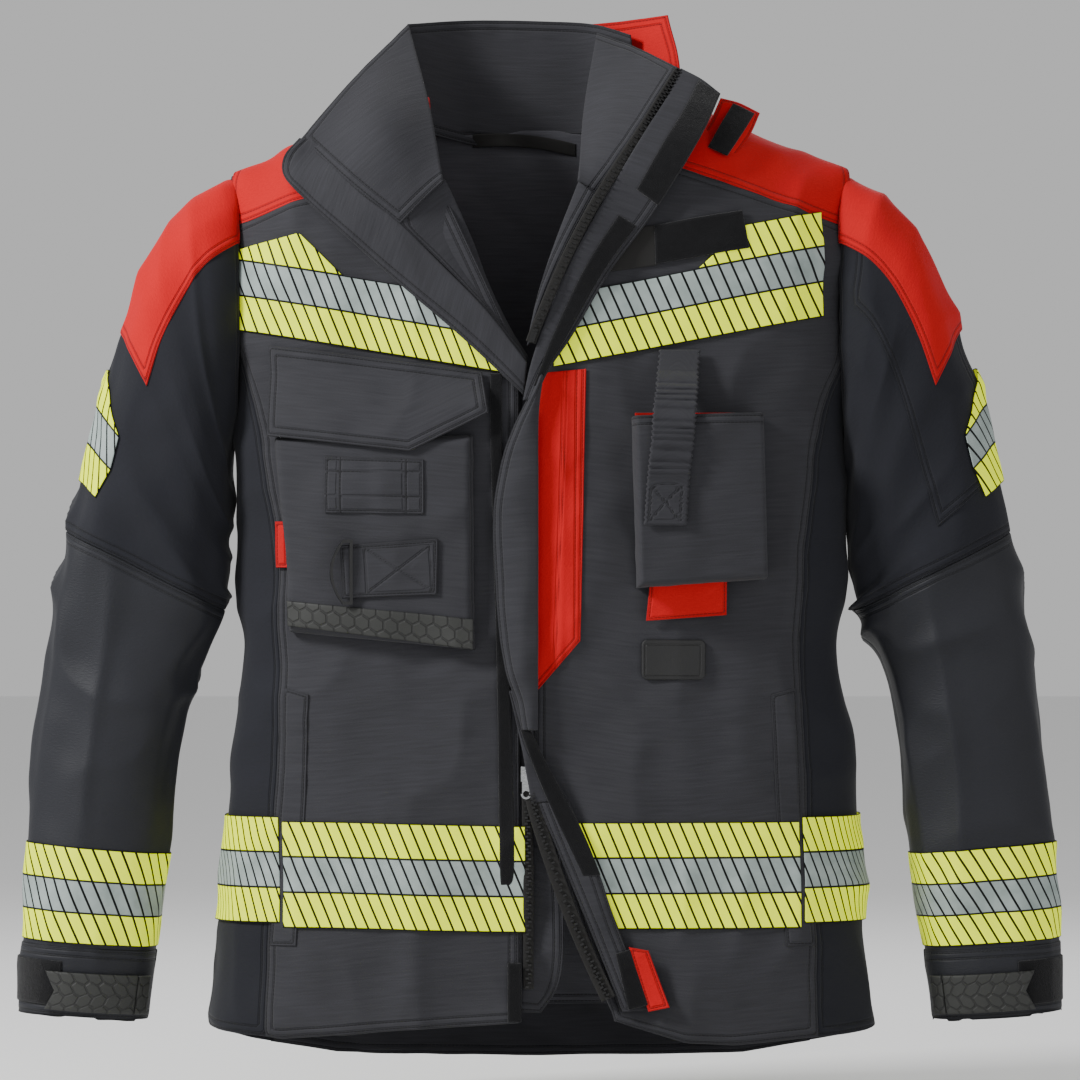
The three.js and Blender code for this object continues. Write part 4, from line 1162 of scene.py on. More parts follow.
@dataclass
class Sleeve:
    """One sleeve with its cap, tapes, cuff tab and loop field."""

    sense: int
    side: str
    wall: float = 0.0032
    cap_spread: float = math.pi / 3
    row: float = 0.0307
    pocket: bool = False

    def away(self, points: Array) -> Array:
        """Directions from the arm's middle line to places on it."""
        x = self.sense * np.interp(-points[..., 2], [0.1, 0.4, 0.78], [0.275, 0.345, 0.402])
        return points - np.stack([x, np.full(x.shape, BODY.middle_y), points[..., 2]], axis=-1)

    def patch(self, down: tuple[float, float], turn: tuple[float, float], off: float = 0.0) -> Shape:
        """Part of the sleeve between two rings and two angles; angles run from low to high."""

        def place(u: Array, v: Array) -> Array:
            rings = down[1] + (down[0] - down[1]) * v
            return ARM.place(self.sense, rings, turn[0] + (turn[1] - turn[0]) * u, off)

        return place

    def bent(self, piece: bpy.types.Object, *nodes: str) -> bpy.types.Object:
        """Bake a piece of the upper arm into place and hide the CAD nodes that it stands for."""
        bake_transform(piece)
        if nodes:
            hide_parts(*nodes)
        return piece

    def upper(self) -> None:
        """The upper arm in stretch cloth, and the red cap over it."""
        whole = (-math.pi, math.pi)
        piece = Sewn(f"upper_arm_{self.side}_cloth", Finish.STRETCH, self.wall, 0.004, sewn="tb").build(
            self.patch((-0.5, 5.0), whole), self.away
        )
        self.bent(piece, f"sleeve_upper_{self.side}")
        if self.pocket:
            piece = Sewn(f"arm_pocket_{self.side}_cloth", Finish.STRETCH, 0.0022, 0.003).build(
                self.patch((0.5, 4.42), (math.radians(18), math.radians(84)), 0.0016), self.away
            )
            self.bent(piece)
        lift = 0.0032 if self.pocket else 0.0014
        piece = Sewn(f"cap_{self.side}_cloth", Finish.RED, 0.003, 0.003).build(
            self.patch((-0.5, 3.0), (-self.cap_spread, self.cap_spread), lift), self.away
        )
        self.bent(piece, f"sleeve_cap_{self.side}")

    def arm_patch(self) -> None:
        """The pointed reflective patch below the cap, three rows high."""
        off = 0.0042 if self.pocket else 0.0022
        top, bottom = 3.42, 4.52

        def place(u: Array, v: Array) -> Array:
            spread = np.radians(np.interp(v, [0, 0.33, 0.67, 1.0], [47, 52, 51, 10]))
            return ARM.place(self.sense, bottom + (top - bottom) * v, (2 * u - 1) * spread, off)

        def weave(u: Array, v: Array) -> Array:
            spread = np.radians(np.interp(v, [0, 0.33, 0.67, 1.0], [47, 52, 51, 10]))
            return np.stack([self.sense * (1 - 2 * u) * spread * 0.072, v * 3 * self.row], axis=-1)

        piece = Sewn(
            f"arm_tape_{self.side}", Finish.TAPE, 0.001, 0.0025, sewn="", pucker=0
        ).build(place, self.away, weave)
        self.bent(piece, f"arm_patch_{self.side}")

    def lower(self) -> None:
        """The coated forearm with its band of tape, loop field and grip tab."""
        whole = (-math.pi, math.pi)
        piece = Sewn(f"forearm_{self.side}_cloth", Finish.COATED, self.wall, 0.004, sewn="tb").build(
            self.patch((5.0, 10.0), whole), self.away
        )
        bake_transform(piece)
        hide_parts(f"sleeve_lower_{self.side}")

        def weave(u: Array, v: Array) -> Array:
            return np.stack([self.sense * -0.345 * u, v * 3 * self.row], axis=-1)

        piece = Sewn(f"sleeve_tape_{self.side}", Finish.TAPE, 0.001, 0.003, sewn="", pucker=0).build(
            self.patch((7.97, 9.0), whole, 0.0016), self.away, weave
        )
        settle(piece, f"forearm_{self.side}", f"sleeve_band_{self.side}")
        seam = Sewn(f"cuff_seam_{self.side}", Finish.COATED, 0.0024, 0.003, sewn="tb").build(
            self.patch((9.05, 10.02), whole, 0.0012), self.away
        )
        settle(seam, f"forearm_{self.side}")
        field_piece = Sewn(f"cuff_loop_{self.side}", Finish.PILE, 0.0016, 0.002, sewn="lrbt", pucker=0).build(
            self.patch((9.24, 9.86), (math.radians(-50), math.radians(72)), 0.0028), self.away
        )
        settle(field_piece, f"forearm_{self.side}")
        piece = Sewn(
            f"grip_tab_{self.side}", Finish.HEX, 0.0026, 0.002, sewn="", pucker=0
        ).build(self.tab_shape, self.away)
        settle(piece, f"wrist_tab_{self.side}", f"cuff_tab_{self.side}")
        root = Sewn(f"grip_root_{self.side}", Finish.HEX, 0.0026, 0.002, sewn="", pucker=0).build(
            self.patch((9.38, 9.92), (math.radians(140.5), math.radians(158)), 0.0058), self.away
        )
        settle(root, f"forearm_{self.side}")

    def tab_shape(self, u: Array, v: Array) -> Array:
        """The grip tab: from the front of the cuff round to the outer side, with a notched free end."""
        notch = math.radians(9) * (1 - np.abs(2 * v - 1))
        low, high = math.radians(58), math.radians(140)
        angle = low + (notch + (high - low - notch) * u)
        return ARM.place(self.sense, 9.92 - 0.54 * v, angle, 0.0058)

    def build(self) -> None:
        """Make the whole sleeve."""
        self.upper()
        self.arm_patch()
        self.lower()


# ---- Collar ----------------------------------------------------------------------------------


@dataclass
class Collar:
    """The stand collar, its open left leaf with the lapel, and the right leaf."""

    def stand(self) -> None:
        """The lining and the red outside of the stand."""
        lining = millimetres(
            [(-104, -33, 5), (-56, 3, -5), (0, 9, -9), (44, 6, -7), (80, -20, 8)],
            [(-109, -31, 47), (-60, 5, 50), (0, 12, 50), (48, 8, 50), (84, -22, 52)],
            [(-117, -28, 101), (-62, 6, 107), (0, 14, 107), (46, 9, 104), (80, -20, 92)],
        )
        piece = Sewn(
            "collar_lining_cloth", Finish.SHELL, 0.002, 0.003, sewn="bt"
        ).build(net(lining, 0.0), FORWARD)
        settle(piece, "coat_body", "collar_lining")
        shell = millimetres(
            [(-94, -19, 10), (-56, 8, 0), (0, 14, -4), (56, 8, 0), (112, -40, 20)],
            [(-101, -18, 50), (-60, 8.5, 50), (0, 15.5, 50), (60, 8.5, 50), (124, -44, 56)],
            [(-113, -17, 94), (-62, 9.5, 101), (0, 17.5, 102), (60, 9.5, 105), (114, -21, 109)],
        )
        piece = Sewn("collar_outer_cloth", Finish.RED, 0.0025, 0.003, sewn="rt").build(net(shell), BACKWARD)
        settle(piece, "coat_body", "collar_shell")

    def right_leaf(self) -> None:
        """The right end of the stand, folded forward beside the zip."""
        rows = millimetres(
            [(33, -44, 2.5, 0), (41, -49, 2, 0), (50, -55, 1.5, 0)],
            [(38, -72.5, 24), (62, -112.5, 10), (86.6, -135.3, 2)],
            [(50, -16, 95), (86, -46.5, 79), (120.5, -91.1, 58)],
        )
        piece = Sewn("collar_right_cloth", Finish.SHELL, 0.003, 0.0028, sewn="rt").build(net(rows), FORWARD)
        settle(piece, "coat_body", "collar_leaf_right")

    def left_leaf(self) -> None:
        """The left end of the stand, laid open over the shoulder."""
        rows = millimetres(
            [(-83.5, -46.9, 11.5, 0), (-101.5, -64.9, 11, 0), (-120.5, -84, 9, 0)],
            [(-93.5, -121.5, 13.1), (-136, -146, -1), (-166, -47, 10, 0)],
            [(-116.5, -29.1, 102), (-164, -75.1, 50), (-209, -105.1, -5)],
        )
        piece = Sewn("collar_left_cloth", Finish.SHELL, 0.004, 0.0028, sewn="rbt").build(net(rows), FORWARD)
        settle(piece, "coat_body", "collar_leaf_left")

    def lapel(self) -> None:
        """The bound lapel band down the left neck edge, and the facing inside it."""
        rows = millimetres(
            [(-13, -232, 6, 0), (-11, -203, 6, 0)],
            [(-70, -179, 6, 0), (-46, -158, 7, 0)],
            [(-129, -128, 5.5, 0), (-88, -115, 7, 0)],
            [(-170, -91, 5.5, 0), (-119, -84, 8.5, 0)],
            [(-206, -58, 5, 0), (-150, -60, 9, 0)],
            [(-223, -38, 6, 0), (-172, -40, 10, 0)],
            [(-223, -113, -21), (-186, -120, -18)],
            [(-210, -111, -5), (-198, -115, -7)],
        )
        piece = Sewn("lapel_cloth", Finish.SHELL, 0.0032, 0.0026, sewn="l").build(net(rows, 0.8), FORWARD)
        settle(piece, "coat_body", "lapel_left")
        left = [(-12, -204, 3), (-46, -158, 4), (-88, -114, 5), (-119, -84, 7), (-122, -80, 7)]
        right = [(-10, -196, -12), (-25, -172, -12), (-46, -128, -12), (-58, -95, -10), (-82, -44, 2)]
        piece = Sewn(
            "neck_facing_cloth", Finish.SHELL, 0.0026, 0.0026, sewn="l"
        ).build(ribbon(left, right, 0.003), FORWARD)
        settle(piece, "coat_body")

    def tab(self) -> None:
        """The red closing tab at the right collar, with its patch of hooks."""
        rows = millimetres(
            [(130, -119, -16), (150, -128, -24), (166, -121, -27)],
            [(146, -108, 6), (166, -112, 2), (184, -104, -2)],
            [(158, -95, 31), (176, -95, 26), (193, -90, 18)],
        )
        piece = Sewn("closing_tab_cloth", Finish.RED, 0.0024, 0.002, rows=1).build(net(rows), FORWARD)
        settle(piece, "closing_tab", "collar_tab")
        rows = millimetres(
            [(146, -126.5, -14), (154, -129, -18), (163, -128, -22)],
            [(157, -116, 6), (166, -117, 3), (177, -113, -1)],
            [(169, -99, 26), (178, -99, 22), (188, -96, 17)],
        )
        piece = Sewn("closing_tab_hooks", Finish.PILE, 0.0016, 0.0016, pucker=0).build(net(rows), FORWARD)
        settle(piece, "closing_tab")

    def loop(self) -> None:
        """The hanger tape, bowed out from the back neck between its sewn ends."""

        def place(u: Array, v: Array) -> Array:
            x = -0.060 + 0.092 * u
            bow = np.sin(math.pi * np.clip(u, 0.02, 0.98)) ** 0.5
            z = -0.001 - 0.008 * u + (v - 0.5) * 0.0115 + 0.004 * np.sin(math.pi * u)
            y = BODY.place(2 - BODY.turn_at(x, z), z)[..., 1] - 0.0085 - 0.0055 * bow
            return np.stack([x, y, z], axis=-1)

        piece = Sewn("hanger_tape", Finish.WEBBING, 0.0014, 0.0015, pucker=0).build(place, FORWARD)
        settle(piece, "coat_body", "hanger_loop")

    def build(self) -> None:
        """Make the collar."""
        self.stand()
        self.right_leaf()
        self.left_leaf()
        self.lapel()
        self.tab()
        self.loop()


# ---- Front closure ---------------------------------------------------------------------------


@dataclass
class Closure:
    """The storm flap with its hook strips, the placket, the under flap and the zip."""

    tooth: tuple[float, float, float] = (0.0030, 0.0016, 0.0019)
    pitch: float = 0.0031

    def placket(self) -> None:
        """The red placket with two sewn folds, cut to a point at its foot."""
        lines = {
            "bottom": [(-4, -488), (35, -443)],
            "top": [(-4, -212), (40, -208)],
            "left": [(-4, -488), (-4, -212)],
            "right": [(35, -443), (36, -400), (40, -208)],
        }
        marks = ([(0.0235, 0.0), (0.0245, 0.30)], [(0.0265, 0.0), (0.0275, 0.30)])
        shape = on_front(lines, lambda u, v: 0.0018 + 0.0012 * bell(u - 0.56, 0.09))
        piece = Sewn(
            "placket_cloth", Finish.RED, 0.0012, 0.0018, sewn="rb", marks=marks
        ).build(shape, FORWARD)
        settle(piece, "coat_body", "red_placket")

    def under_flap(self) -> None:
        """The facing behind the zip, rounded at its foot."""
        left = [(-16, -764, -6), (-16, -740, -6), (-16, -600, -6), (-16, -216, -6)]
        right = [(1, -765, -6), (17, -738, -6), (18, -600, -6), (16, -216, -6)]
        piece = Sewn(
            "under_flap_cloth", Finish.SHELL, 0.0016, 0.0026, sewn="rb"
        ).build(ribbon(left, right), FORWARD)
        settle(piece, "coat_body", "under_flap")

    def upper_flap(self) -> None:
        """The storm flap opened at the neck, with hook strips along it."""
        rows = millimetres(
            [(-15, -236, 12, 0), (-9, -236, 13, 0), (-4, -236, 11, 0)],
            [(-8, -205, 10, 0), (2, -207, 10, 0), (8, -210, 8.5, 0)],
            [(2, -174, 8, 0), (14, -178, 7.5, 0), (26, -183, 7, 0)],
            [(29, -110, 8, 0), (44, -117, 7.5, 0), (61, -124, 7, 0)],
            [(60, -54, 8, 0), (78, -66, 7.5, 0), (95, -78, 7, 0)],
            [(93, -146, 2), (110, -152.5, -10), (128, -156, -26)],
            [(109, -127, 28), (127, -134.5, 18), (145, -140, 5)],
            [(123, -101, 57), (141, -107, 47), (158, -108, 34)],
        )
        shape = net(rows, 0.7)
        piece = Sewn("storm_flap_upper_cloth", Finish.SHELL, 0.0026, 0.0026, sewn="r").build(shape, FORWARD)
        settle(piece, "coat_body", "storm_flap_upper")

        def strip(u_from: float, u_to: float, v_from: float, v_to: float) -> Shape:
            def place(u: Array, v: Array) -> Array:
                spots = shape(u_from + (u_to - u_from) * u, v_from + (v_to - v_from) * v)
                out = normals(spots)
                out = out * -np.sign(out[..., 1].mean())
                return spots + out * 0.0016

            return place

        long = Sewn("hook_strip_upper_pile", Finish.PILE, 0.0018, 0.0018, pucker=0)
        settle(long.build(strip(0.46, 0.99, 0.60, 0.985), FORWARD), "coat_body", "hook_strip_upper")
        short = Sewn("hook_strip_lapel_pile", Finish.PILE, 0.0018, 0.0018, pucker=0)
        settle(short.build(strip(0.42, 0.86, 0.06, 0.54), FORWARD), "coat_body")

    def middle_flap(self) -> None:
        """The closed storm flap over the zip, a soft tube with a rolled free edge."""
        left = [(-17, -520, 9), (-21, -497, 8), (-29, -473, 7), (-36, -434, 7), (-39, -391, 7),
                (-41, -338, 7), (-37, -304, 7), (-29, -273, 8), (-16, -243, 9), (-1, -214, 10)]
        right = [(-1, -520, 10), (-1, -497, 9.5), (-1, -473, 9), (-1, -434, 9), (-1, -391, 9),
                 (-1, -338, 9), (-1, -304, 9), (-1, -273, 9), (0, -243, 9), (4, -214, 10)]
        shape = ribbon(left, right, 0.0045)
        piece = Sewn("storm_flap_cloth", Finish.SHELL, 0.0026, 0.0026, sewn="l").build(shape, FORWARD)
        settle(piece, "coat_body", "storm_flap_middle")

    def lower_flap(self) -> None:
        """The flap's lower part, turned to show its hook side, with the red pull at its foot."""
        left = [(71, -763, 7), (65, -748, 7), (41, -688, 7), (18, -632, 7), (-2, -583, 7)]
        right = [(95, -761, 7), (91, -750, 7), (66, -687, 7), (47, -632, 7), (25, -581, 7)]
        turn = [(-7, -583, 7), (-15, -540, 8), (-27, -486, 4)]
        turn_right = [(25, -581, 7), (-2, -536, 9), (-18, -486, 4)]
        piece = Sewn(
            "storm_flap_turn_cloth", Finish.SHELL, 0.0022, 0.0022, sewn="r"
        ).build(ribbon(turn, turn_right), FORWARD)
        settle(piece, "coat_body", "storm_flap_turn")
        piece = Sewn("storm_flap_lower_cloth", Finish.SHELL, 0.0022, 0.0022, sewn="lrb").build(
            ribbon(left, right, 0.002), FORWARD
        )
        settle(piece, "lower_flap", "storm_flap_lower")
        hooks_left = [(37, -646, 9.4), (20, -610, 9.4), (2, -570, 9.4), (-9, -542, 10), (-17, -520, 9)]
        hooks_right = [(52, -645, 9.4), (36, -606, 9.4), (16, -568, 9.4), (3, -543, 10), (-8, -520, 9)]
        piece = Sewn("hook_strip_lower_pile", Finish.PILE, 0.0018, 0.0018, pucker=0).build(
            ribbon(hooks_left, hooks_right), FORWARD
        )
        settle(piece, "coat_body")
        foot = quad_lines((65, -713), (77, -709), (93, -757), (76, -761))
        piece = Sewn(
            "hook_patch_foot_pile", Finish.PILE, 0.0018, 0.0018, pucker=0
        ).build(on_front(foot, 0.0108), FORWARD)
        settle(piece, "lower_flap")
        pull = quad_lines((76, -707), (93, -710), (111, -759), (93, -763))
        piece = Sewn(
            "flap_pull_cloth", Finish.RED, 0.0016, 0.0018, rows=1
        ).build(on_front(pull, 0.0100), FORWARD)
        settle(piece, "lower_flap", "flap_pull_tab")

    def strips(self) -> None:
        """The loop strips down the left front."""
        left = [(-34, -654, 3), (-34.5, -650, 3), (-37, -480, 3), (-42, -300, 3), (-43, -212, 3)]
        right = [(-26, -654, 3), (-23.5, -650, 3), (-26, -480, 3), (-32, -300, 3), (-33, -212, 3)]
        piece = Sewn(
            "loop_strip_pile", Finish.PILE, 0.0016, 0.002, pucker=0
        ).build(ribbon(left, right), FORWARD)
        settle(piece, "coat_body", "loop_strip_long")
        shape = on_front(box_lines(-28, -16, -721, -772), 0.0026)
        piece = Sewn("loop_strip_foot_pile", Finish.PILE, 0.0016, 0.002, pucker=0).build(shape, FORWARD)
        settle(piece, "coat_body")

    def zip_run(self, name: str, line: Sequence[Sequence[float]], width: float, *nodes: str) -> None:
        """Zip tape along a line, with a row of teeth standing on it.

        Args:
            name: the pieces' name.
            line: places in metres, bottom to top.
            width: the tape's width.
            nodes: the CAD nodes that the tape stands for.
        """
        knots = np.asarray(line, dtype=float)
        steps = 40
        share = np.linspace(0, 1, steps)
        spots = catmull(knots, share)
        heading = unit(np.gradient(spots, axis=0))
        aside = unit(np.cross(heading, np.array(FORWARD)))

        def tape(u: Array, v: Array) -> Array:
            middle = np.stack([np.interp(v, share, spots[:, k]) for k in range(3)], axis=-1)
            way = np.stack([np.interp(v, share, aside[:, k]) for k in range(3)], axis=-1)
            return middle + way * ((u - 0.5) * width)[..., None]

        piece = Sewn(
            f"{name}_tape", Finish.WEBBING, 0.0012, 0.002, sewn="", pucker=0, declare=False
        ).build(tape, FORWARD)
        settle(piece, "coat_body", *nodes)
        length = np.linalg.norm(np.diff(spots, axis=0), axis=-1).sum()
        count = int(length / self.pitch)
        at = (np.arange(count) + 0.5) / count
        middle = catmull(knots, at)
        way = np.stack([np.interp(at, share, heading[:, k]) for k in range(3)], axis=-1)
        side = np.stack([np.interp(at, share, aside[:, k]) for k in range(3)], axis=-1)
        out = unit(np.cross(way, side))
        out = out * -np.sign(out[:, 1:2])
        wide, tall, deep = self.tooth
        corners = np.array([(a, b, c) for a in (-0.5, 0.5) for b in (-0.5, 0.5) for c in (-0.5, 0.5)])
        alternate = np.where(np.arange(count) % 2, 0.35, -0.35)[:, None, None] * wide * side[:, None]
        points = (
            middle[:, None]
            + alternate
            + corners[None, :, :1] * wide * side[:, None]
            + corners[None, :, 1:2] * tall * way[:, None]
            + (corners[None, :, 2:] * deep + 0.0011) * out[:, None]
        )
        faces = np.array([(0, 1, 3, 2), (4, 6, 7, 5), (0, 4, 5, 1), (2, 3, 7, 6), (0, 2, 6, 4), (1, 5, 7, 3)])
        faces = (faces[None] + np.arange(count)[:, None, None] * 8).reshape(-1, 4)
        box = points[0] - points[0].mean(axis=0)
        first = faces[0]
        turned = np.dot(
            np.cross(box[first[1]] - box[first[0]], box[first[2]] - box[first[1]]),
            box[first].mean(axis=0),
        ) < 0
        data = bpy.data.meshes.new(f"{name}_teeth")
        data.from_pydata(points.reshape(-1, 3), [], faces[:, ::-1] if turned else faces)
        data.materials.append(MATERIALS[Finish.ZIP])
        teeth = bpy.data.objects.new(f"{name}_teeth", data)
        bpy.context.scene.collection.objects.link(teeth)
        settle(teeth, "coat_body")

    def zips(self) -> None:
        """The three visible runs of the zip and its sliders."""

        def line(places: Sequence[Sequence[float]]) -> list[Array]:
            return [BODY.front(np.array(x * MM), np.array(z * MM), off * MM) for x, z, off in places]

        low = line(
            [(-10, -744, 1.5), (-10, -690, 1.5), (-10, -640, 1.5), (-11, -600, 1.5), (-11.5, -565, 1.5)]
        )
        self.zip_run("zip_left", low, 0.009, "zip_half_left")
        splay = line(
            [(59, -752, 8), (45, -722, 8), (27, -680, 8), (6, -622, 8), (-5, -585, 6), (-9, -565, 3)]
        )
        self.zip_run("zip_right", splay, 0.013, "zip_tail_right", "zip_half_right")
        places = ((-8, -186, 9.5), (-4, -175, 9.5), (24, -110, 9.5), (54.5, -54, 9))
        upper = [BODY.front(np.array(x * MM), np.array(z * MM), off * MM, 0.7) for x, z, off in places]
        upper += [np.array(place) * MM for place in ((91, -142, 3), (107, -123, 29.5), (122, -98.5, 54.5))]
        self.zip_run("zip_lapel", upper, 0.009, "zip_lapel_right")
        left = [(-12, -188, 5), (-4, -150, 5), (12, -100, 4), (33, -46, 4)]
        right = [(-8, -186, 6), (2, -156, 6), (24, -104, 6), (48, -58, 6)]
        piece = Sewn(
            "zip_facing_cloth", Finish.SHELL, 0.002, 0.0026, sewn="r"
        ).build(ribbon(left, right, 0.001), FORWARD)
        settle(piece, "coat_body")
        for node in ("zip_slider_lower", "zip_slider_upper"):
            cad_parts[node].data.materials.clear()
            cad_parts[node].data.materials.append(MATERIALS[Finish.METAL])

    def build(self) -> None:
        """Make the closure."""
        self.placket()
        self.under_flap()
        self.upper_flap()
        self.middle_flap()
        self.lower_flap()
        self.strips()
        self.zips()


# ---- Tapes and labels on the body ------------------------------------------------------------


@dataclass
class BodyTapes:
    """The chest, hem and back bands, and the name field and badge."""

    height: float = 92.0
    hem_top: float = -600.0

    def band(
        self,
        name: str,
        low: Callable[[Array], Array],
        high: Callable[[Array], Array],
        ends: tuple[float, float],
        node: str,
        lean: float = 0.0,
    ) -> None:
        """A band on the front between a lower and an upper line over places across, in millimetres."""

        def spot(u: Array, v: Array) -> tuple[Array, Array, Array]:
            x = ends[0] + (ends[1] - lean * v - ends[0]) * u
            bottom = low(x)
            z = bottom + (high(x) - bottom) * v
            return x * MM, z * MM, (z - bottom) * MM

        def place(u: Array, v: Array) -> Array:
            x, z, _ = spot(u, v)
            return BODY.front(x, z, 0.0025)

        def weave(u: Array, v: Array) -> Array:
            x, _, up = spot(u, v)
            return np.stack([x, up], axis=-1)

        piece = Sewn(name, Finish.TAPE, 0.001, 0.0026, sewn="", pucker=0).build(place, FORWARD, weave)
        settle(piece, "coat_body", node)

    def chest(self) -> None:
        """The slanting chest bands, their upper rows cut away towards the middle."""

        def left_low(x: Array) -> Array:
            return -173 - (262 + x) * 0.168

        def left_high(x: Array) -> Array:
            return left_low(x) + np.interp(x, [-262, -207, -171, -60], [71, 92, 61.4, 61.4])

        self.band("chest_tape_left", left_low, left_high, (-267, -30), "chest_band_left", 46)

        def right_low(x: Array) -> Array:
            return -162 - (243 - x) * 0.193

        def right_high(x: Array) -> Array:
            return right_low(x) + np.interp(x, [12, 137, 178, 241], [61.4, 61.4, 92, 92])

        self.band("chest_tape_right", right_low, right_high, (12, 246), "chest_band_right")

    def hem(self) -> None:
        """The three rows round the hem, in three lengths."""

        def flat_low(x: Array) -> Array:
            return np.full(x.shape, self.hem_top - self.height) - 3 * smooth(-200, 0, -np.abs(x))

        def flat_high(x: Array) -> Array:
            return flat_low(x) + self.height

        self.band("hem_tape_left", flat_low, flat_high, (-224, -13), "hem_band_left")

        def splayed(u: Array, v: Array) -> tuple[Array, Array, Array]:
            up = self.height * v
            z = self.hem_top - self.height + up
            start = 68 - 36 * v
            return (start + (224 - start) * u) * MM, z * MM, up * MM

        def place(u: Array, v: Array) -> Array:
            x, z, _ = splayed(u, v)
            return BODY.front(x, z, 0.0025)

        def weave(u: Array, v: Array) -> Array:
            x, _, up = splayed(u, v)
            return np.stack([x, up], axis=-1)

        piece = Sewn(
            "hem_tape_right", Finish.TAPE, 0.001, 0.0026, sewn="", pucker=0
        ).build(place, FORWARD, weave)
        settle(piece, "coat_body", "hem_band_right")

        def round_back(u: Array, v: Array) -> Array:
            z = (self.hem_top + 4 - self.height * (1 - v)) * MM
            start = BODY.turn_at(np.full(z.shape, 0.2275), z)
            turn = start + (4 - 2 * start) * u
            return BODY.on(turn, z, 0.0025)

        def back_weave(u: Array, v: Array) -> Array:
            return np.stack([u * 0.86, v * self.height * MM], axis=-1)

        piece = Sewn(
            "hem_tape_back", Finish.TAPE, 0.001, 0.003, sewn="", pucker=0
        ).build(round_back, away_from_core, back_weave)
        settle(piece, "coat_body", "hem_band_back")

    def back(self) -> None:
        """The straight band across the back."""

        def place(u: Array, v: Array) -> Array:
            x = 0.258 - 0.516 * u
            z = (-282 + self.height * v) * MM
            return BODY.on(2 - BODY.turn_at(x, z), z, 0.0016)

        def weave(u: Array, v: Array) -> Array:
            return np.stack([u * 0.516, v * self.height * MM], axis=-1)

        piece = Sewn(
            "chest_tape_back", Finish.TAPE, 0.001, 0.003, sewn="", pucker=0
        ).build(place, BACKWARD, weave)
        settle(piece, "coat_body", "chest_band_back")

    def labels(self) -> None:
        """The loop field for a name, the black flap beside it, and a blank rubber badge."""
        field_lines = quad_lines((99, -83), (175, -70), (181, -103), (100, -117))
        piece = Sewn(
            "name_field_pile", Finish.PILE, 0.0018, 0.002, pucker=0
        ).build(on_front(field_lines, 0.0034), FORWARD)
        settle(piece, "coat_body", "name_loop_field")
        flap = quad_lines((66, -86), (101, -83), (102, -118), (60, -124))
        piece = Sewn(
            "name_flap_cloth", Finish.WEBBING, 0.0016, 0.002, pucker=0
        ).build(on_front(flap, 0.0022), FORWARD)
        settle(piece, "coat_body")
        plate = {
            "bottom": [(88.6, -474.6), (91.4, -476.6), (139.2, -477), (141.6, -475)],
            "top": [(88.6, -443.8), (91.4, -441.8), (139.2, -442), (141.6, -444)],
            "left": [(88.6, -474.6), (87.5, -472), (87.5, -446.4), (88.6, -443.8)],
            "right": [(141.6, -475), (142.8, -472), (142.8, -446.4), (141.6, -444)],
        }
        inset = 0.0034
        lines = (
            [
                (inset, inset),
                (0.0548 - inset, inset),
                (0.0548 - inset, 0.034 - inset),
                (inset, 0.034 - inset),
                (inset, inset),
            ],
        )
        piece = Sewn("badge_rubber", Finish.PLATE, 0.0026, 0.0012, sewn="", pucker=0, marks=lines).build(
            on_front(plate, 0.0034, 0.6), FORWARD
        )
        settle(piece, "coat_body", "badge")

    def build(self) -> None:
        """Make the bands and labels."""
        self.chest()
        self.hem()
        self.back()
        self.labels()


# ---- Pockets ---------------------------------------------------------------------------------


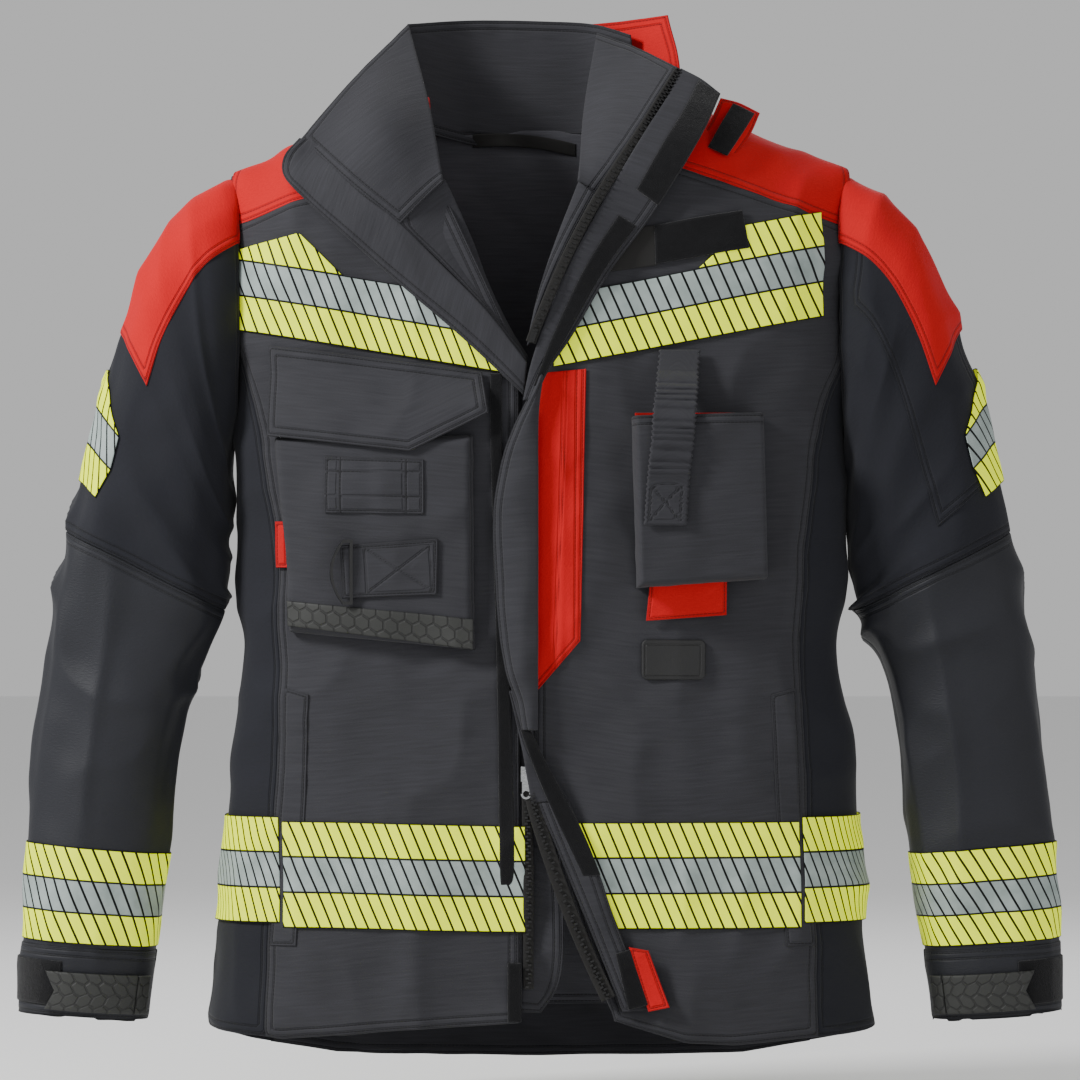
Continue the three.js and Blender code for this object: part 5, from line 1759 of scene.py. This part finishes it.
@dataclass
class Pockets:
    """The chest pocket, the radio pocket and the hand pocket welts."""

    chest_proud: float = 0.0125
    radio_proud: float = 0.0289

    def boxed(
        self, proud: float, rim: float, size: tuple[float, float], open_top: bool
    ) -> Callable[[Array, Array], Array]:
        """Lift of a boxed pocket: a rounded step up from each sewn side to its flat front.

        Args:
            proud: how far the front stands off.
            rim: how far in from the side the step reaches.
            size: the pocket's width and height.
            open_top: whether the top edge stays out.

        Returns:
            The lift as a function of the shares.
        """

        def lift(u: Array, v: Array) -> Array:
            sides = [u * size[0], (1 - u) * size[0], v * size[1]]
            if not open_top:
                sides.append((1 - v) * size[1])
            near = np.minimum.reduce(sides)
            step = np.clip(near / rim, 0, 1)
            return 0.0012 + (proud - 0.0012) * (1 - (1 - step) ** 3) ** 0.6

        return lift

    def chest(self) -> None:
        """The boxed chest pocket under its pointed flap, with webbing, ring tab and grip strip."""
        lines = {
            "bottom": [(-214, -436), (-56, -451)],
            "top": [(-228, -266), (-57, -266)],
            "left": [(-214, -436), (-221, -340), (-228, -266)],
            "right": [(-56, -451), (-57, -340), (-57, -266)],
        }
        lift = self.boxed(self.chest_proud, 0.009, (0.168, 0.18), False)
        piece = Sewn(
            "chest_pocket_cloth", Finish.SHELL, 0.0024, 0.0026, sewn="lr"
        ).build(on_front(lines, lift), FORWARD)
        settle(piece, "coat_body", "chest_pocket")
        flap = {
            "bottom": [(-230, -266), (-111, -280), (-44, -247)],
            "top": [(-234, -187), (-50, -211)],
            "left": [(-230, -266), (-234, -187)],
            "right": [(-44, -247), (-50, -211)],
        }

        def flap_lift(u: Array, v: Array) -> Array:
            return 0.0046 + 0.0118 * smooth(0.0, 0.85, 1 - v) + 0.0012 * np.sin(math.pi * u)

        piece = Sewn(
            "pocket_flap_cloth", Finish.SHELL, 0.0026, 0.0024
        ).build(on_front(flap, flap_lift), FORWARD)
        settle(piece, "pocket_flap", "chest_pocket_flap")
        grip = {
            "bottom": [(-212, -430), (-57, -450)],
            "top": [(-213, -408), (-57, -424)],
            "left": [(-212, -430), (-213, -408)],
            "right": [(-57, -450), (-57, -424)],
        }
        off = self.chest_proud + 0.0022
        piece = Sewn(
            "grip_rubber", Finish.HEX, 0.0022, 0.0018, sewn="", pucker=0
        ).build(on_front(grip, off), FORWARD)
        settle(piece, "coat_body", "grip_strip")
        box = 0.0035
        marks = (
            [(0, 0.015), (0.084, 0.015)], [(0, 0.0365), (0.084, 0.0365)],
            [(0.012, 0), (0.012, 0.05)], [(0.0145, 0), (0.0145, 0.05)],
            [(0.0695, 0), (0.0695, 0.05)], [(0.072, 0), (0.072, 0.05)],
        )
        webbing = quad_lines((-183, -284), (-99, -287), (-99, -334), (-182, -333))
        piece = Sewn("pocket_webbing_cloth", Finish.SHELL, 0.0018, 0.0016, rows=1, marks=marks).build(
            on_front(webbing, off - 0.0004), FORWARD
        )
        settle(piece, "coat_body")
        wide, tall = 0.082, 0.046
        cross = (
            [(0.022, box), (wide - box, tall - box)], [(0.022, tall - box), (wide - box, box)],
            [(0.022, box), (wide - box, box), (wide - box, tall - box), (0.022, tall - box), (0.022, box)],
        )
        tab = quad_lines((-169, -361), (-87, -355), (-88, -403), (-166, -406))

        def tab_lift(u: Array, v: Array) -> Array:
            return off + 0.0010 + 0.0052 * smooth(0.22, 0.0, u)

        piece = Sewn(
            "ring_tab_cloth", Finish.SHELL, 0.0026, 0.0016, rows=1, marks=cross
        ).build(on_front(tab, tab_lift), FORWARD)
        settle(piece, "coat_body", "ring_tab")
        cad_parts["d_ring"].data.materials.clear()
        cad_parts["d_ring"].data.materials.append(MATERIALS[Finish.WIRE])
        piping = on_front(box_lines(-229, -217, -340, -380), 0.0040)
        piece = Sewn("pocket_piping", Finish.RED, 0.0014, 0.0016, pucker=0).build(piping, FORWARD)
        settle(piece, "coat_body")

    def radio(self) -> None:
        """The boxed radio pocket with its ruched strap and red pull tab."""
        lines = {
            "bottom": [(82, -398), (192, -390)],
            "top": [(78, -250), (189, -247)],
            "left": [(82, -398), (78, -250)],
            "right": [(192, -390), (189, -247)],
        }
        lift = self.boxed(self.radio_proud, 0.006, (0.11, 0.145), True)
        piece = Sewn(
            "radio_pocket_cloth", Finish.SHELL, 0.0026, 0.0022, sewn="lbt"
        ).build(on_front(lines, lift, 0.7), FORWARD)
        settle(piece, "coat_body", "radio_pocket")
        back = on_front(box_lines(82, 188, -246, -300), 0.003)
        piece = Sewn("radio_pocket_back", Finish.RED, 0.0016, 0.004, sewn="t").build(back, FORWARD)
        settle(piece, "coat_body")
        pull = quad_lines((94, -389), (160, -386), (161, -421), (91, -426))

        def pull_lift(u: Array, v: Array) -> Array:
            return 0.0065 + 0.006 * v + 0.001 * np.sin(9 * u)

        piece = Sewn(
            "radio_pull_cloth", Finish.RED, 0.0028, 0.0018, rows=1
        ).build(on_front(pull, pull_lift), FORWARD)
        settle(piece, "radio_tab", "radio_pull_tab")
        knots = [(-344, 105, 33.5), (-300, 108, 33.5), (-270, 111, 33.5), (-243, 113, 33), (-226, 116, 24),
                 (-212, 118, 12), (-200, 120, 7), (-191, 121, 4.5)]
        table = np.array(knots) * MM

        def strap(u: Array, v: Array) -> Array:
            line = catmull(table, v[0])
            z, middle, off = line[:, 0][None], line[:, 1][None], line[:, 2][None]
            ruched = smooth(-0.306, -0.298, z) * smooth(-0.206, -0.216, z)
            half = 0.0175 + 0.0008 * np.sin(z * 1300)
            x = middle + (2 * u - 1) * half
            gathers = np.abs(np.sin(z * 460 + 1.2 * np.sin(z * 190) + 0.5 * u)) ** 0.7
            return BODY.front(x, z + 0 * u, off + 0.0026 * ruched * gathers, 0.7)

        cross = (
            [(0.004, 0.004), (0.031, 0.036)], [(0.031, 0.004), (0.004, 0.036)],
            [(0.004, 0.004), (0.031, 0.004), (0.031, 0.036), (0.004, 0.036), (0.004, 0.004)],
        )
        piece = Sewn(
            "radio_strap_cloth", Finish.SHELL, 0.0026, 0.0011, sewn="", marks=cross
        ).build(strap, FORWARD)
        settle(piece, "strap", "radio_strap")

    def welts(self) -> None:
        """The long welts of the hand pockets."""
        for sense, side in ((-1, "left"), (1, "right")):
            outer = [(sense * 237, -708, 1.4), (sense * 228, -600, 1.4), (sense * 220, -484, 1.4)]
            inner = [(sense * 212, -708, 1.4), (sense * 205, -600, 1.4), (sense * 199, -490, 1.4)]
            left, right = (outer, inner) if sense < 0 else (inner, outer)
            piece = Sewn(
                f"hand_welt_{side}_cloth", Finish.SHELL, 0.002, 0.0026, rows=1
            ).build(ribbon(left, right), FORWARD)
            settle(piece, "coat_body", f"hand_pocket_welt_{side}")

    def build(self) -> None:
        """Make the pockets."""
        self.chest()
        self.radio()
        self.welts()


# ---- Studio ----------------------------------------------------------------------------------


@dataclass
class Studio:
    """A pale floor, soft lights and the camera."""

    floor_z: float = -0.86
    distance: float = 5.22
    lens: float = 200.0
    aim_z: float = -0.356

    def light(
        self, name: str, place: Sequence[float], target: Sequence[float], size: float, power: float
    ) -> None:
        """One soft square light aimed at a place."""
        data = bpy.data.lights.new(name, "AREA")
        data.size = size
        data.energy = power
        lamp = bpy.data.objects.new(name, data)
        bpy.context.scene.collection.objects.link(lamp)
        way = Vector(target) - Vector(place)
        lamp.location = place
        lamp.rotation_euler = way.to_track_quat("-Z", "Y").to_euler()

    def build(self) -> None:
        """Set up the stage."""
        reach, low = 14.0, self.floor_z
        corners = [(-reach, -reach, low), (reach, -reach, low), (reach, reach, low), (-reach, reach, low)]
        data = bpy.data.meshes.new("floor")
        data.from_pydata(corners, [], [(0, 1, 2, 3)])
        floor = bpy.data.objects.new("floor", data)
        bpy.context.scene.collection.objects.link(floor)
        data.materials.append(Graph("pale floor").finish(Base_Color=(0.85, 0.85, 0.85, 1.0), Roughness=0.95))
        world = bpy.data.worlds.new("studio")
        world.use_nodes = True
        world.node_tree.nodes["Background"].inputs[0].default_value = (1.0, 1.0, 1.0, 1.0)
        world.node_tree.nodes["Background"].inputs[1].default_value = 0.55
        bpy.context.scene.world = world
        self.light("key", (-2.3, -1.3, 1.3), (0, 0, -0.35), 0.6, 125)
        self.light("fill", (1.9, -2.0, 0.1), (0, 0, -0.4), 1.4, 14)
        self.light("rim", (0.3, 1.8, 1.2), (0, 0, -0.2), 1.5, 22)
        camera = bpy.data.cameras.new("camera")
        camera.lens = self.lens
        camera.sensor_width = 36.0
        eye = bpy.data.objects.new("camera", camera)
        eye.location = (0.0, -0.12 - self.distance, self.aim_z)
        eye.rotation_euler = (math.pi / 2, 0, 0)
        bpy.context.scene.collection.objects.link(eye)
        bpy.context.scene.camera = eye


def main() -> None:
    """Build the sub-assemblies in order and log each one."""
    logging.basicConfig(level=logging.INFO, format="%(name)s %(message)s")
    parts = [
        Torso(),
        Sleeve(-1, "left"),
        Sleeve(1, "right", pocket=True),
        Collar(),
        Closure(),
        BodyTapes(),
        Pockets(),
        Studio(),
    ]
    for part in parts:
        part.build()
        LOG.info("built %s", type(part).__name__)


if __name__ == "__main__":
    main()
